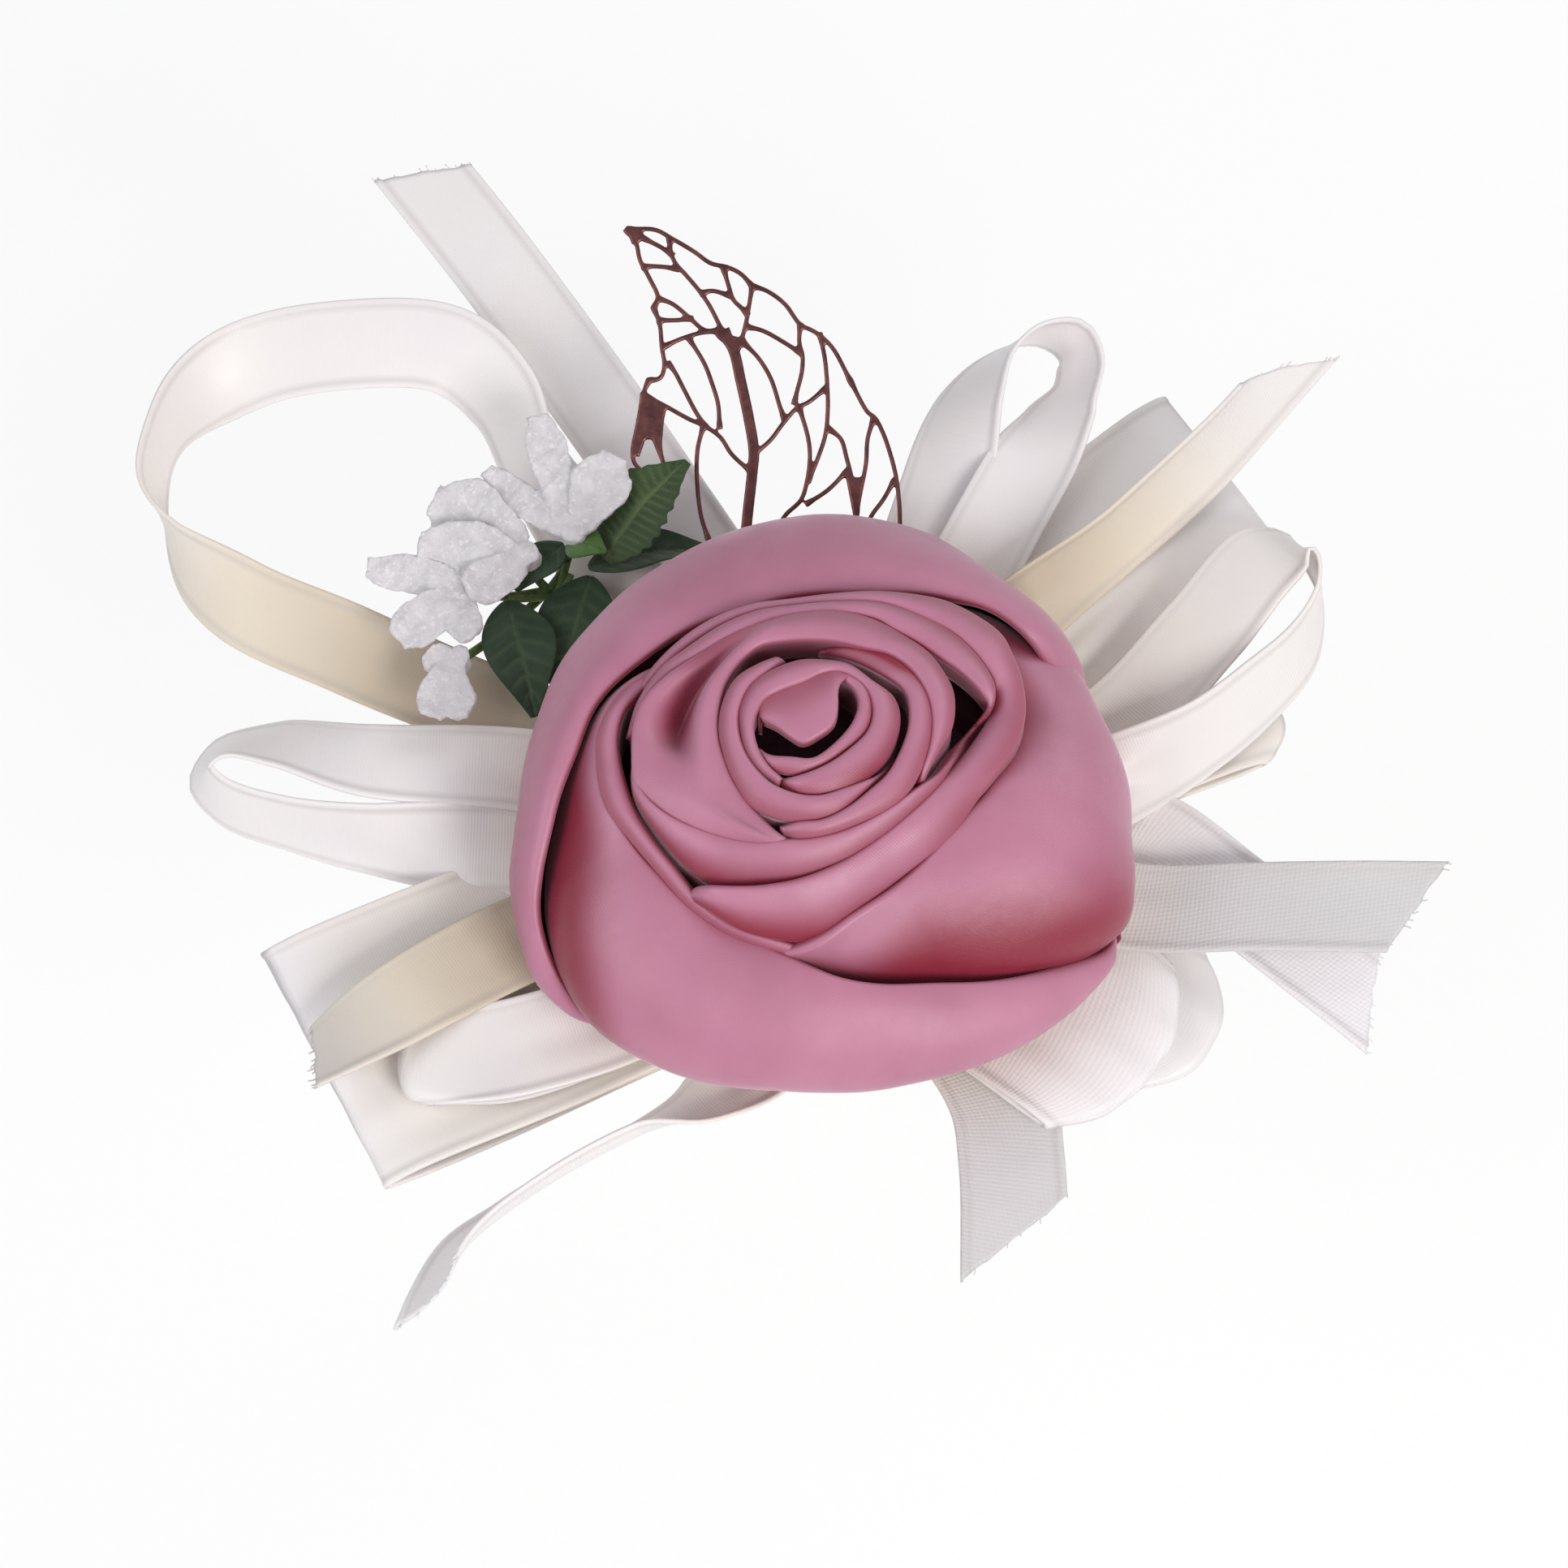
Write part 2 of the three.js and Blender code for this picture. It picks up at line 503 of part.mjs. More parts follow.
// Bow of wide ribbon, folded flat at its ends
ribbon("bow_lower_left", [
  [-7.2, -4.2, LEVELS[0], 119, 0], [-28, -15, 5.3, 119, 0], [-49, -24.4, 4.4, 119, 0],
  [-52.8, -26.2, 6, 119, 0], [-49, -24.4, 7.6, 119, 0], [-28, -15, 7.2, 119, 0],
  [-7.2, -4.2, LEVELS[1], 119, 0],
], { width: 30, loop: true, gather: 0.3, steps: 26 });
ribbon("bow_upper_right", [
  [6.2, 5.6, LEVELS[0], 134, 0], [24, 25.4, 5.3, 130, 0], [42.6, 42, 4.4, 124, 0], [46, 44.6, 6, 123, 0],
  [42.6, 42, 7.6, 124, 0], [24, 25.4, 7.2, 130, 0], [6.2, 5.6, LEVELS[1], 134, 0],
], { width: 25, loop: true, gather: 0.3, steps: 26 });

// Loops of narrow ribbon
ribbon("loop_upper_left", [
  [-5.4, 7, LEVELS[3], 36, 0], [-23, 31, 9.4, 36, 20], [-32, 44, 10, 30, 50], [-35.6, 52, 12, 60, 45],
  [-41.4, 56.8, 13.4, 90, 30], [-52.5, 57, 14.4, 90, 26], [-64.2, 54.4, 14, 90, 34],
  [-71.6, 48.4, 12.8, 90, 62], [-73.8, 41, 11.4, 160, 80], [-71, 33.6, 10.6, 90, 70],
  [-63.4, 27.2, 9.8, 66, 40], [-51.6, 21.8, 9, 66, 20], [-39.9, 16.7, 8, 66, 4],
  [-24, 10, LEVELS[2], 66, 0], [-8, 3.6, LEVELS[2], 66, 0],
], { loop: true, steps: 40 });
ribbon("loop_left", [
  [-8.6, 0.8, LEVELS[5], 90, 0], [-30, 6.6, 10.2, 90, 0], [-48.9, 7.4, 13, 90, 0], [-62, 8.8, 13, 90, 4],
  [-67.2, 9, 10.6, 84, 2], [-65.4, 6.4, 8.2, 86, -14], [-57.8, 1.8, 7.8, 94, -30],
  [-46.2, -1.6, 8.6, 92, -26], [-31, -3.2, LEVELS[4], 88, -6], [-8.6, -1, LEVELS[4], 92, 0],
], { loop: true, steps: 32 });
ribbon("loop_lower_left", [
  [-6.2, -6.2, LEVELS[2], 135, 0], [-19, -20.8, 8.7, 128, 0], [-32, -27.4, 8.7, 112, 0],
  [-42, -29, 8.7, 100, 0], [-45.4, -29.4, 9.7, 100, 0], [-42, -29, 10.7, 100, 0],
  [-31, -26.2, 10.8, 112, 0], [-18.4, -20.2, 9.7, 128, 0], [-6.2, -6.2, LEVELS[3], 135, 0],
], { loop: true, width: 11, steps: 30 });
ribbon("loop_upper_right", [
  [2.6, 8.2, LEVELS[2], -18, 0], [9.4, 28, 8.3, -18, 0], [14, 42, 8.8, -20, 4], [17, 52.6, 10.4, -24, 40],
  [20.6, 58.2, 11.6, -40, 62], [25.6, 61, 12.2, -80, 70], [30.8, 59.4, 12, 10, 64],
  [30.2, 55.8, 11.4, 20, 56], [28, 52, 10.6, 20, 46], [25.2, 44.4, 10.8, 10, 4],
  [20.4, 35.6, 10.2, -10, 0], [5, 7, LEVELS[3], -35, 0],
], { loop: true, steps: 40 });
ribbon("loop_right", [
  [7.9, 3.2, LEVELS[5], -66, 0], [30, 10.8, 10.2, -54, 0], [41.4, 21.9, 13, -44, 6],
  [48.6, 29.7, 15, -44, 14], [53.2, 32, 14.4, -52, 36], [55.4, 26.4, 12.8, -80, 66],
  [52.1, 17.4, 11.4, 150, 66], [43.4, 10, 11.2, 128, 40], [36, 6, 11, 116, 18], [28, 3, LEVELS[6], 104, 0],
  [8.4, 1, LEVELS[6], 95, 0],
], { loop: true, steps: 36 });
ribbon("loop_right_low", [
  [15.4, 0.4, LEVELS[0], 96, 0], [34, 6.6, 5, 108, 0], [46.4, 10.6, 4.2, 108, 0], [49.8, 11.7, 5.4, 108, 0],
  [46.4, 10.6, 6.7, 108, 0], [34, 6.6, 6.4, 108, 0], [15.4, 0.4, LEVELS[1], 96, 0],
], { loop: true, steps: 24 });
ribbon("loop_lower_right", [
  [5.6, -6, LEVELS[2], 54, 0], [20, -16, 7.3, 54, 0], [28.8, -22.6, 7, 56, 0], [31.6, -24.8, 7.9, 57, 0],
  [28.8, -22.6, 8.8, 56, 0], [20, -16, 8.4, 54, 0], [5.6, -6, LEVELS[3], 54, 0],
], { loop: true, width: 22, gather: 0.2, steps: 24 });
ribbon("loop_lower_right_back", [
  [7.6, -3.6, LEVELS[0], 62, 0], [25, -13, 5.2, 62, 0], [36, -19.4, 3.6, 62, 0], [38.8, -20.9, 4.4, 62, 0],
  [36, -19.4, 5.4, 62, 0], [25, -13, 5.9, 62, 0], [7.6, -3.6, LEVELS[1], 62, 0],
], { loop: true, width: 18, gather: 0.25, steps: 24 });

// Tails with cut ends
ribbon("tail_upper_left", [
  [-3.4, 8, LEVELS[2], 20, 0], [-8.4, 25, 7.8, 20, 0], [-19, 43.2, 8.6, 32, 4], [-35.9, 68.7, 9.8, 36, 8],
  [-47.2, 84.4, 10.2, 36, 8],
], { slant: 5.6 });
const upperRightTail = [
  [5.2, 6.7, LEVELS[6], 142, 0], [21, 28.4, 11, 130, 0], [35, 39.8, 12.4, 124, 8], [46, 47.9, 13.2, 122, 22],
  [59.6, 56.8, 14, 120, 30],
];
ribbon("tail_upper_right_root", upperRightTail, { width: 9, slant: 9, steps: 10, to: 0.44 });
ribbon("tail_upper_right", upperRightTail, { width: 9, slant: 9, steps: 14, from: 0.445 });
const rightTail = [
  [8.3, -1.8, LEVELS[5], 80, 0], [32, -9, 10, 90, 0], [46.4, -9.4, 10.8, 90, 4], [66.8, -9.7, 11.4, 90, 6],
];
ribbon("tail_right_root", rightTail, { slant: -7, steps: 10, to: 0.475 });
ribbon("tail_right", rightTail, { slant: -7, steps: 14, from: 0.48 });
ribbon("tail_right_low", [
  [8.5, -0.8, LEVELS[4], 86, 0], [26, 1.2, 8.9, 80, 0], [37.4, 1, 8.1, 60, 0], [47.6, -7.7, 7.7, 46, 0],
  [61.6, -21.6, 7, 46, 0],
], { slant: 6 });
ribbon("tail_thin", [
  [-2.2, -8.4, LEVELS[2], 10, 0], [-5.6, -24, 7.2, 0, 0], [-12.1, -30.6, 6.8, 320, 40],
  [-18.9, -33.3, 6.4, 276, 68], [-26.6, -37.4, 6, 276, 70], [-34.9, -43, 5.4, 276, 66],
  [-39.5, -47.3, 5, 310, 40], [-43.9, -53.8, 4.6, 330, 10],
], { width: 6, slant: 5, steps: 26 });
ribbon("tail_bottom", [
  [1, -8.6, LEVELS[0], 0, 0], [9, -19, 5.4, 20, 0], [18, -28.6, 5.4, 14, 0], [20.4, -37, 5, 0, 0],
  [19.4, -48, 4.4, -6, 0],
], { slant: 7 });
ribbon("tail_lower_left", [
  [-7.6, -3.8, LEVELS[5], 118, 0], [-31, -12.8, 10.8, 114, 0], [-45.3, -21.2, 12.8, 118, 8],
  [-53.4, -27.2, 11.8, 120, 8],
], { slant: 3.5 });

export default group;
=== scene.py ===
import math
from types import SimpleNamespace as Sizes

import bpy
import numpy as np
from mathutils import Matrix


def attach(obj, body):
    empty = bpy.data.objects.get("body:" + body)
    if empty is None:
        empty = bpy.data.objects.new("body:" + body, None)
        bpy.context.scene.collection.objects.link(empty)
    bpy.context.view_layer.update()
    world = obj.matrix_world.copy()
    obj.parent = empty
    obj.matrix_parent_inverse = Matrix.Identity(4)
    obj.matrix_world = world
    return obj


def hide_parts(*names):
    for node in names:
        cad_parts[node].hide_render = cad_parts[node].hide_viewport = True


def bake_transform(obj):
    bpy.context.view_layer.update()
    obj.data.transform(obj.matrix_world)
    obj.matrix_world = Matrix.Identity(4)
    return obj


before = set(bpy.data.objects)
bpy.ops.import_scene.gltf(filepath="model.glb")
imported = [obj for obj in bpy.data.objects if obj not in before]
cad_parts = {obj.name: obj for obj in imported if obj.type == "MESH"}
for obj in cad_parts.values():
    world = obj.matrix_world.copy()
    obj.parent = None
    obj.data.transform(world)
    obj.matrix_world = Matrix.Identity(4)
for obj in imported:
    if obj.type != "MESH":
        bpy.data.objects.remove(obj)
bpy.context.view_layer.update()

# Wrist corsage. Lengths are in millimetres until a mesh is made, which is in metres.
MM = 0.001

VIEW = Sizes(elevation=66, target=(-3.94, 5.22, 10), distance=469.6, lens=100, sensor=36)
FLOOR_Z = -67.5
FLOOR_SHOWN = 0.85
WORLD_LIGHT = 0.42
LIGHT_AIM = (0, 0, 0.01)

RIBBON = Sizes(
    half=0.15, bead=0.1, bead_edge=0.6, bead_fade=0.25, row=0.8, column=0.62, selvage=(0, 0.22, 0.6, 0.85),
    seam=0.8, seam_width=0.2, gather_run=18, still=4, free_run=14, pleat_rise=12, pleat_hold=14,
    pleat_fade=12, bulge_run=7, cream=10, cream_fade=26,
)
# Heights at which the ribbons pass under the rose, one above the other
LEVELS = (5.45, 6.35, 7.25, 8.15, 9.05, 9.95, 10.85)
ROSE = Sizes(foot=12.4, half=0.2, base_radius=23.8, base_low=11.5, base_high=12.1, base_edge=(0.4, 0.15))
FELT = Sizes(
    base_radius=22, cover_radius=20, thick=1.5, gap=1.8, middle=2, rings=10, edge=0.5, corner=(0.12, 0.14),
    rim=2, rim_inset=0.08, fuzz=0.12, fuzz_size=0.9,
)
BAND = Sizes(
    width=14, thick=1.2, columns=25, row=0.35, gathers=2.9, ruche=0.16, ripple=0.1, scallop=0.25, slack=0.2,
    end_run=2,
)
METAL = Sizes(
    unit=0.089, thick=0.5, rise=24, at=(-7.6, 34.7, 15), vein=0.5, midrib=1.2, row=0.3, overlap=0.2,
    flare=0.5, flare_run=0.7, voxel=0.13, stem=0.45,
)


# Geometry helpers

def ease(t):
    t = np.clip(t, 0, 1)
    return t * t * (3 - 2 * t)


def unit(vectors):
    return vectors / np.linalg.norm(vectors, axis=-1, keepdims=True)


def normals(grid):
    return unit(np.cross(np.gradient(grid, axis=0), np.gradient(grid, axis=1)))


def direction(turn, rise):
    turn, rise = np.radians(turn), np.radians(rise)
    return np.stack([np.cos(rise) * np.cos(turn), np.cos(rise) * np.sin(turn), np.sin(rise)], -1)


def blade_axes(foot, tip, face):
    """Foot and tip of a blade that faces about one way, and its sideways and upward directions."""
    foot, tip, up = (np.asarray(p, float) for p in (foot, tip, face))
    forward = unit(tip - foot)
    up = unit(up - up.dot(forward) * forward)
    return foot, tip, np.cross(forward, up), up


def spline(stops, t):
    """Points at t, from 0 to 1, on the centripetal Catmull-Rom curve through the stops."""
    stops = np.asarray(stops, float)
    spans = len(stops) - 1
    stops = np.vstack([2 * stops[0] - stops[1], stops, 2 * stops[-1] - stops[-2]])
    spot = np.clip(t, 0, 1) * spans
    span = np.minimum(spot.astype(int), spans - 1)
    w = (spot - span)[..., None]
    a, b, c, d = (stops[span + k] for k in range(4))
    pairs = ((a, b), (b, c), (c, d))
    near, mid, far = (np.sqrt(np.linalg.norm(q - p, axis=-1, keepdims=True)) for p, q in pairs)
    same = 1e-2
    mid = np.where(mid < same, 1, mid)
    near = np.where(near < same, mid, near)
    far = np.where(far < same, mid, far)
    leave = mid * ((b - a) / near - (c - a) / (near + mid) + (c - b) / mid)
    reach = mid * ((c - b) / mid - (d - b) / (mid + far) + (d - c) / far)
    return b + leave * w + (3 * (c - b) - 2 * leave - reach) * w**2 + (2 * (b - c) + leave + reach) * w**3


def by_length(stops, samples=1600):
    """The curve's length and a function from distance along it to the curve's t."""
    t = np.linspace(0, 1, samples)
    run = np.concatenate([[0], np.cumsum(np.linalg.norm(np.diff(spline(stops, t), axis=0), axis=1))])
    return run[-1], lambda distance: np.interp(distance, run, t)


def walk(stops, step, least=2):
    """Distances along the curve through the stops, with the curve's points and directions there."""
    long, at = by_length(stops)
    along = np.linspace(0, long, max(least, int(long / step)))
    centre = spline(stops, at(along))
    return along, centre, unit(np.gradient(centre, axis=0))


def wobble(points, size, seed=0):
    """Smooth pseudo-random values from -1 to 1 that vary over about the given size."""
    p = np.asarray(points) / size + seed * 7.31
    waves = (
        np.sin(1.7 * p[..., 0] + 2.3 * p[..., 1] + 1.1 * p[..., 2]),
        np.sin(-2.1 * p[..., 0] + 1.3 * p[..., 1] + 1.9 * p[..., 2] + 1.7),
        np.sin(0.9 * p[..., 0] - 1.9 * p[..., 1] + 2.7 * p[..., 2] + 4.1),
    )
    return sum(waves) / len(waves)


def facing_out(points, faces):
    a, b, c, d = (points[faces[:, k]] for k in range(4))
    volume = np.sum(a * (np.cross(b, c) + np.cross(c, d)))
    return faces if volume > 0 else faces[:, ::-1]


def closed(top, under):
    """Points and faces of the closed body between two point grids."""
    rows, cols = top.shape[:2]
    size = rows * cols
    grid = np.arange(size).reshape(rows, cols)
    quads = np.stack([grid[:-1, :-1], grid[:-1, 1:], grid[1:, 1:], grid[1:, :-1]], -1).reshape(-1, 4)
    edge = np.concatenate([grid[0, :-1], grid[:-1, -1], grid[-1, :0:-1], grid[:0:-1, 0]])
    after = np.roll(edge, -1)
    sides = np.stack([after, edge, edge + size, after + size], -1)
    points = np.concatenate([top.reshape(-1, 3), under.reshape(-1, 3)])
    return points, facing_out(points, np.concatenate([quads, quads[:, ::-1] + size, sides]))


def slab(middle, out):
    """The closed body that reaches as far as out to both sides of a point grid."""
    return closed(middle + out, middle - out)


def turned(profile, sides=96):
    """Closed round body: a profile of (radius, height) stops from the axis out and back to it."""
    profile = np.asarray(profile, float)
    turn = np.linspace(0, 2 * math.pi, sides, endpoint=False)
    ring = np.stack([np.cos(turn), np.sin(turn)], -1)
    points = [np.concatenate([r * ring, np.full((sides, 1), z)], 1) for r, z in profile[1:-1]]
    points = np.concatenate(points + [[[0, 0, profile[0, 1]], [0, 0, profile[-1, 1]]]])
    grid = np.arange(sides * (len(profile) - 2)).reshape(-1, sides)
    around = np.roll(grid, -1, 1)
    quads = np.stack([grid[:-1], around[:-1], around[1:], grid[1:]], -1).reshape(-1, 4)
    first, last = len(points) - 2, len(points) - 1
    low = np.stack([np.full(sides, first), around[0], grid[0], grid[0]], -1)
    high = np.stack([np.full(sides, last), grid[-1], around[-1], around[-1]], -1)
    return points, facing_out(points, np.concatenate([quads, low, high]))


def tube(stops, radius, sides=12, row=0.5):
    """Closed round tube along the curve through the stops."""
    _, centre, forward = walk(stops, row, least=6)
    side = unit(np.cross(forward, (0.13, 0.21, 0.97)))
    up = np.cross(side, forward)
    angle = (np.arange(sides // 2) + 0.5) * 2 * math.pi / sides
    out = np.cos(angle)[None, :, None] * side[:, None] * radius
    lift = np.sin(angle)[None, :, None] * up[:, None] * radius
    return slab(centre[:, None] + out, lift)


def add_object(name, data):
    """A new object in the scene with the given mesh, light or camera."""
    obj = bpy.data.objects.new(name, data)
    bpy.context.scene.collection.objects.link(obj)
    return obj


def make(name, parts, cloth=None):
    """One mesh object from closed bodies, with the cloth coordinates of its points if it is woven."""
    points, faces, count = [], [], 0
    for part_points, part_faces in parts:
        points.append(part_points)
        faces += [tuple(dict.fromkeys(face)) for face in (part_faces + count).tolist()]
        count += len(part_points)
    mesh = bpy.data.meshes.new(name)
    mesh.from_pydata((np.concatenate(points) * MM).tolist(), [], faces)
    mesh.polygons.foreach_set("use_smooth", [True] * len(mesh.polygons))
    if cloth is not None:
        attribute = mesh.attributes.new("cloth", "FLOAT_VECTOR", "POINT")
        attribute.data.foreach_set("vector", np.asarray(cloth, np.float32).ravel())
    return add_object(name, mesh)


def dress(obj, material, nodes=(), body="corsage"):
    """Gives a piece its finish, the body that it rides on and the nodes that it stands for."""
    obj.data.materials.append(material)
    if nodes:
        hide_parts(*nodes)
    if body:
        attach(obj, body)
    return obj


def fuse(obj, voxel, rounds):
    """Joins the overlapping bodies of a piece into one smooth mesh."""
    remesh = obj.modifiers.new("Remesh", "REMESH")
    remesh.mode = "VOXEL"
    remesh.voxel_size = voxel * MM
    smooth = obj.modifiers.new("Smooth", "SMOOTH")
    smooth.factor = 0.5
    smooth.iterations = rounds
    graph = bpy.context.evaluated_depsgraph_get()
    final = bpy.data.meshes.new_from_object(obj.evaluated_get(graph))
    obj.modifiers.clear()
    final.name = obj.name
    obj.data = final
    final.polygons.foreach_set("use_smooth", [True] * len(final.polygons))


def mesh_points(obj):
    co = np.zeros(len(obj.data.vertices) * 3, np.float32)
    obj.data.vertices.foreach_get("co", co)
    return co.reshape(-1, 3).astype(float) / MM


def set_points(obj, points):
    obj.data.vertices.foreach_set("co", (np.asarray(points) * MM).astype(np.float32).ravel())
    obj.data.update()


# Materials

class Nodes:
    """Short calls to build the nodes of a material or of the world."""

    def __init__(self, tree):
        self.tree = tree

    def set(self, socket, value):
        if isinstance(value, bpy.types.NodeSocket):
            self.tree.links.new(value, socket)
        elif hasattr(value, "__len__") and socket.type == "RGBA":
            socket.default_value = (*value, 1)
        else:
            socket.default_value = value

    def node(self, kind, inputs=None, **settings):
        made = self.tree.nodes.new("ShaderNode" + kind)
        for key, value in settings.items():
            setattr(made, key, value)
        for key, value in (inputs or {}).items():
            self.set(made.inputs[key], value)
        return made

    def math(self, operation, a, b=0.0):
        return self.node("Math", {0: a, 1: b}, operation=operation).outputs[0]

    def spread(self, value, low, high, to_low=0.0, to_high=1.0):
        inputs = {"Value": value, "From Min": low, "From Max": high, "To Min": to_low, "To Max": to_high}
        return self.node("MapRange", inputs).outputs["Result"]

    def mix(self, a, b, share):
        return self.node("Mix", {0: share, 6: a, 7: b}, data_type="RGBA").outputs[2]

    def split(self, vector):
        return self.node("SeparateXYZ", {0: vector}).outputs


class Finish(Nodes):
    """A material with one Principled shader. Sizes are in millimetres."""

    def __init__(self, name, **sockets):
        self.material = bpy.data.materials.new(name)
        self.material.use_nodes = True
        super().__init__(self.material.node_tree)
        self.place = self.node("TexCoord").outputs["Object"]
        self.shader = self.tree.nodes["Principled BSDF"].inputs
        for socket, value in sockets.items():
            self.set(self.shader[socket.replace("_", " ")], value)

    def wear(self, color, rough, normal):
        """Sets what varies over the surface, and gives the material."""
        for socket, value in (("Base Color", color), ("Roughness", rough), ("Normal", normal)):
            self.set(self.shader[socket], value)
        return self.material

    def noise(self, size, detail=2, rough=0.5):
        """Noise from 0 to 1 with lumps of about the given size."""
        inputs = {"Vector": self.place, "Scale": 1 / (size * MM), "Detail": detail, "Roughness": rough}
        return self.node("TexNoise", inputs).outputs["Fac"]

    def mottle(self, a, b, size, detail, low=0.3, high=0.7):
        """Patches of two colours."""
        return self.mix(a, b, self.spread(self.noise(size, detail), low, high))

    def rough(self, low, high, size, detail=3):
        """Patches of roughness from low to high."""
        return self.spread(self.noise(size, detail), 0.2, 0.8, low, high)

    def wave(self, value, pitch):
        """Sine of a length, from -1 to 1 once per pitch."""
        return self.math("SINE", self.math("MULTIPLY", value, 2 * math.pi / pitch))

    def weave(self, a, a_pitch, b, b_pitch):
        """Raised points where the waves of two lengths cross."""
        return self.math("MULTIPLY", self.wave(a, a_pitch), self.wave(b, b_pitch))

    def cloth(self):
        """Distance across and along the cloth, and a third value: creamy colour with painted shade, painted
        fold shade or a leaf's veins.
        """
        parts = self.split(self.node("Attribute", attribute_name="cloth").outputs["Vector"])
        return parts[0], parts[1], parts[2]

    def bump(self, height, distance, strength, normal=None):
        inputs = {"Height": height, "Distance": distance * MM, "Strength": strength}
        if normal:
            inputs["Normal"] = normal
        return self.node("Bump", inputs).outputs["Normal"]


def rose_satin():
    """Dusty pink satin with painted dark red shade in its folds and creases and under its sheets."""
    finish = Finish("rose_satin", Sheen_Weight=0.3, Sheen_Roughness=0.4, Sheen_Tint=(1, 0.82, 0.92))
    across, along, painted_shade = finish.cloth()
    lit = finish.mottle((0.44, 0.168, 0.252), (0.5, 0.2, 0.3), 9, 3)
    # Painted shade: creases that face up turn dark red where ambient occlusion finds them closed in.
    open_share = finish.node("AmbientOcclusion", {"Distance": 4.5 * MM}, samples=8).outputs["AO"]
    crease = finish.spread(open_share, 0.3, 0.88, 1, 0)
    upward = finish.spread(finish.split(finish.node("TexCoord").outputs["Normal"])[2], -0.1, 0.3)
    # Painted shade share: the mesh's painted fold shade or the crease shade, whichever is more.
    red = finish.math("MAXIMUM", painted_shade, finish.math("MULTIPLY", crease, upward))
    color = finish.mix(lit, (0.25, 0.016, 0.04), red)
    soft = finish.bump(finish.noise(5), 0.12, 0.5)
    threads = finish.bump(finish.weave(across, 0.34, along, 0.3), 0.012, 0.5, soft)
    return finish.wear(color, finish.rough(0.38, 0.5, 1.6), threads)


def ivory_ribbon(name, woven, pale, patch):
    """Ivory ribbon, creamy where dyed and where painted warm shade falls: smooth satin, or woven with a twill
    of raised dots.
    """
    sheen = {"Sheen_Weight": 0.2, "Sheen_Roughness": 0.4, "Sheen_Tint": (0.95, 0.93, 1)}
    finish = Finish(name, Specular_IOR_Level=0.3 if woven else 0.45, **sheen)
    across, along, cream_and_shade = finish.cloth()
    cloth = finish.mottle(pale, patch, 14, 2, low=0.35)
    # Shares up to 1 mix in cream dye and painted warm shade bounced between plies; shares from 1 to 2 mix in
    # a darker painted shade.
    cloth = finish.mix(cloth, (0.76, 0.675, 0.555), finish.spread(cream_and_shade, 0, 1))
    cloth = finish.mix(cloth, (0.51, 0.415, 0.30), finish.spread(cream_and_shade, 1, 2))
    # Painted shade: a darker line just inside each beaded edge.
    selvage = finish.node("Attribute", attribute_name="selvage").outputs["Fac"]
    color = finish.mix(cloth, (0.52, 0.48, 0.46), finish.math("MULTIPLY", selvage, 0.4))
    soft = finish.bump(finish.noise(6), 0.15, 0.5)
    if woven:
        slant, other = finish.math("ADD", across, along), finish.math("SUBTRACT", along, across)
        dots = finish.bump(finish.weave(slant, 1.1, other, 0.8), 0.04, 0.5, soft)
        return finish.wear(color, 0.62, dots)
    threads = finish.bump(finish.wave(along, 0.33), 0.01, 0.4, soft)
    return finish.wear(color, finish.rough(0.36, 0.5, 2), threads)


def elastic():
    finish = Finish("ruched_elastic", Sheen_Weight=0.2, Sheen_Roughness=0.5, Specular_IOR_Level=0.35)
    across, along, _ = finish.cloth()
    color = finish.mottle((0.80, 0.75, 0.69), (0.86, 0.82, 0.77), 4, 3)
    cords = finish.bump(finish.wave(across, 1.75), 0.12, 0.6)
    threads = finish.bump(finish.weave(along, 0.5, across, 0.5), 0.03, 0.5, cords)
    return finish.wear(color, finish.rough(0.45, 0.65, 1.5, 2), threads)


def felt():
    finish = Finish("felt", Sheen_Weight=0.5, Sheen_Roughness=0.7, Specular_IOR_Level=0.15)
    fibres, clumps = finish.noise(0.35, 6, 0.7), finish.noise(2.2, 4)
    color = finish.mix((0.66, 0.60, 0.51), (0.82, 0.77, 0.69), finish.spread(clumps, 0.3, 0.7))
    return finish.wear(color, 0.95, finish.bump(fibres, 0.25, 0.8, finish.bump(clumps, 0.3, 0.4)))


def set_glue():
    finish = Finish("set_glue", Specular_IOR_Level=0.5, Subsurface_Weight=0.25, Subsurface_Scale=0.002)
    color = finish.mottle((0.70, 0.63, 0.49), (0.80, 0.75, 0.64), 3, 3)
    lumps = finish.bump(finish.noise(2, 3), 0.3, 0.6)
    return finish.wear(color, finish.rough(0.22, 0.42, 1.2), lumps)


def copper_plate():
    finish = Finish("copper_plate", Metallic=0.85, Specular_IOR_Level=0.5)
    color = finish.mottle((0.19, 0.075, 0.07), (0.10, 0.04, 0.045), 1.8, 4, low=0.35)
    grain = finish.bump(finish.noise(0.3, 3), 0.015, 0.5)
    return finish.wear(color, finish.rough(0.28, 0.5, 0.5, 4), grain)


def green_fabric(name, dark, light):
    finish = Finish(name, Sheen_Weight=0.15, Sheen_Roughness=0.5, Specular_IOR_Level=0.35)
    across, along, veins = finish.cloth()
    color = finish.mix(finish.mottle(dark, light, 3.5, 4, high=0.75), (0.16, 0.22, 0.08), veins)
    soft = finish.bump(finish.noise(1.2, 3), 0.08, 0.5)
    threads = finish.bump(finish.weave(along, 0.3, across, 0.3), 0.02, 0.6, soft)
    return finish.wear(color, finish.rough(0.42, 0.65, 1), threads)


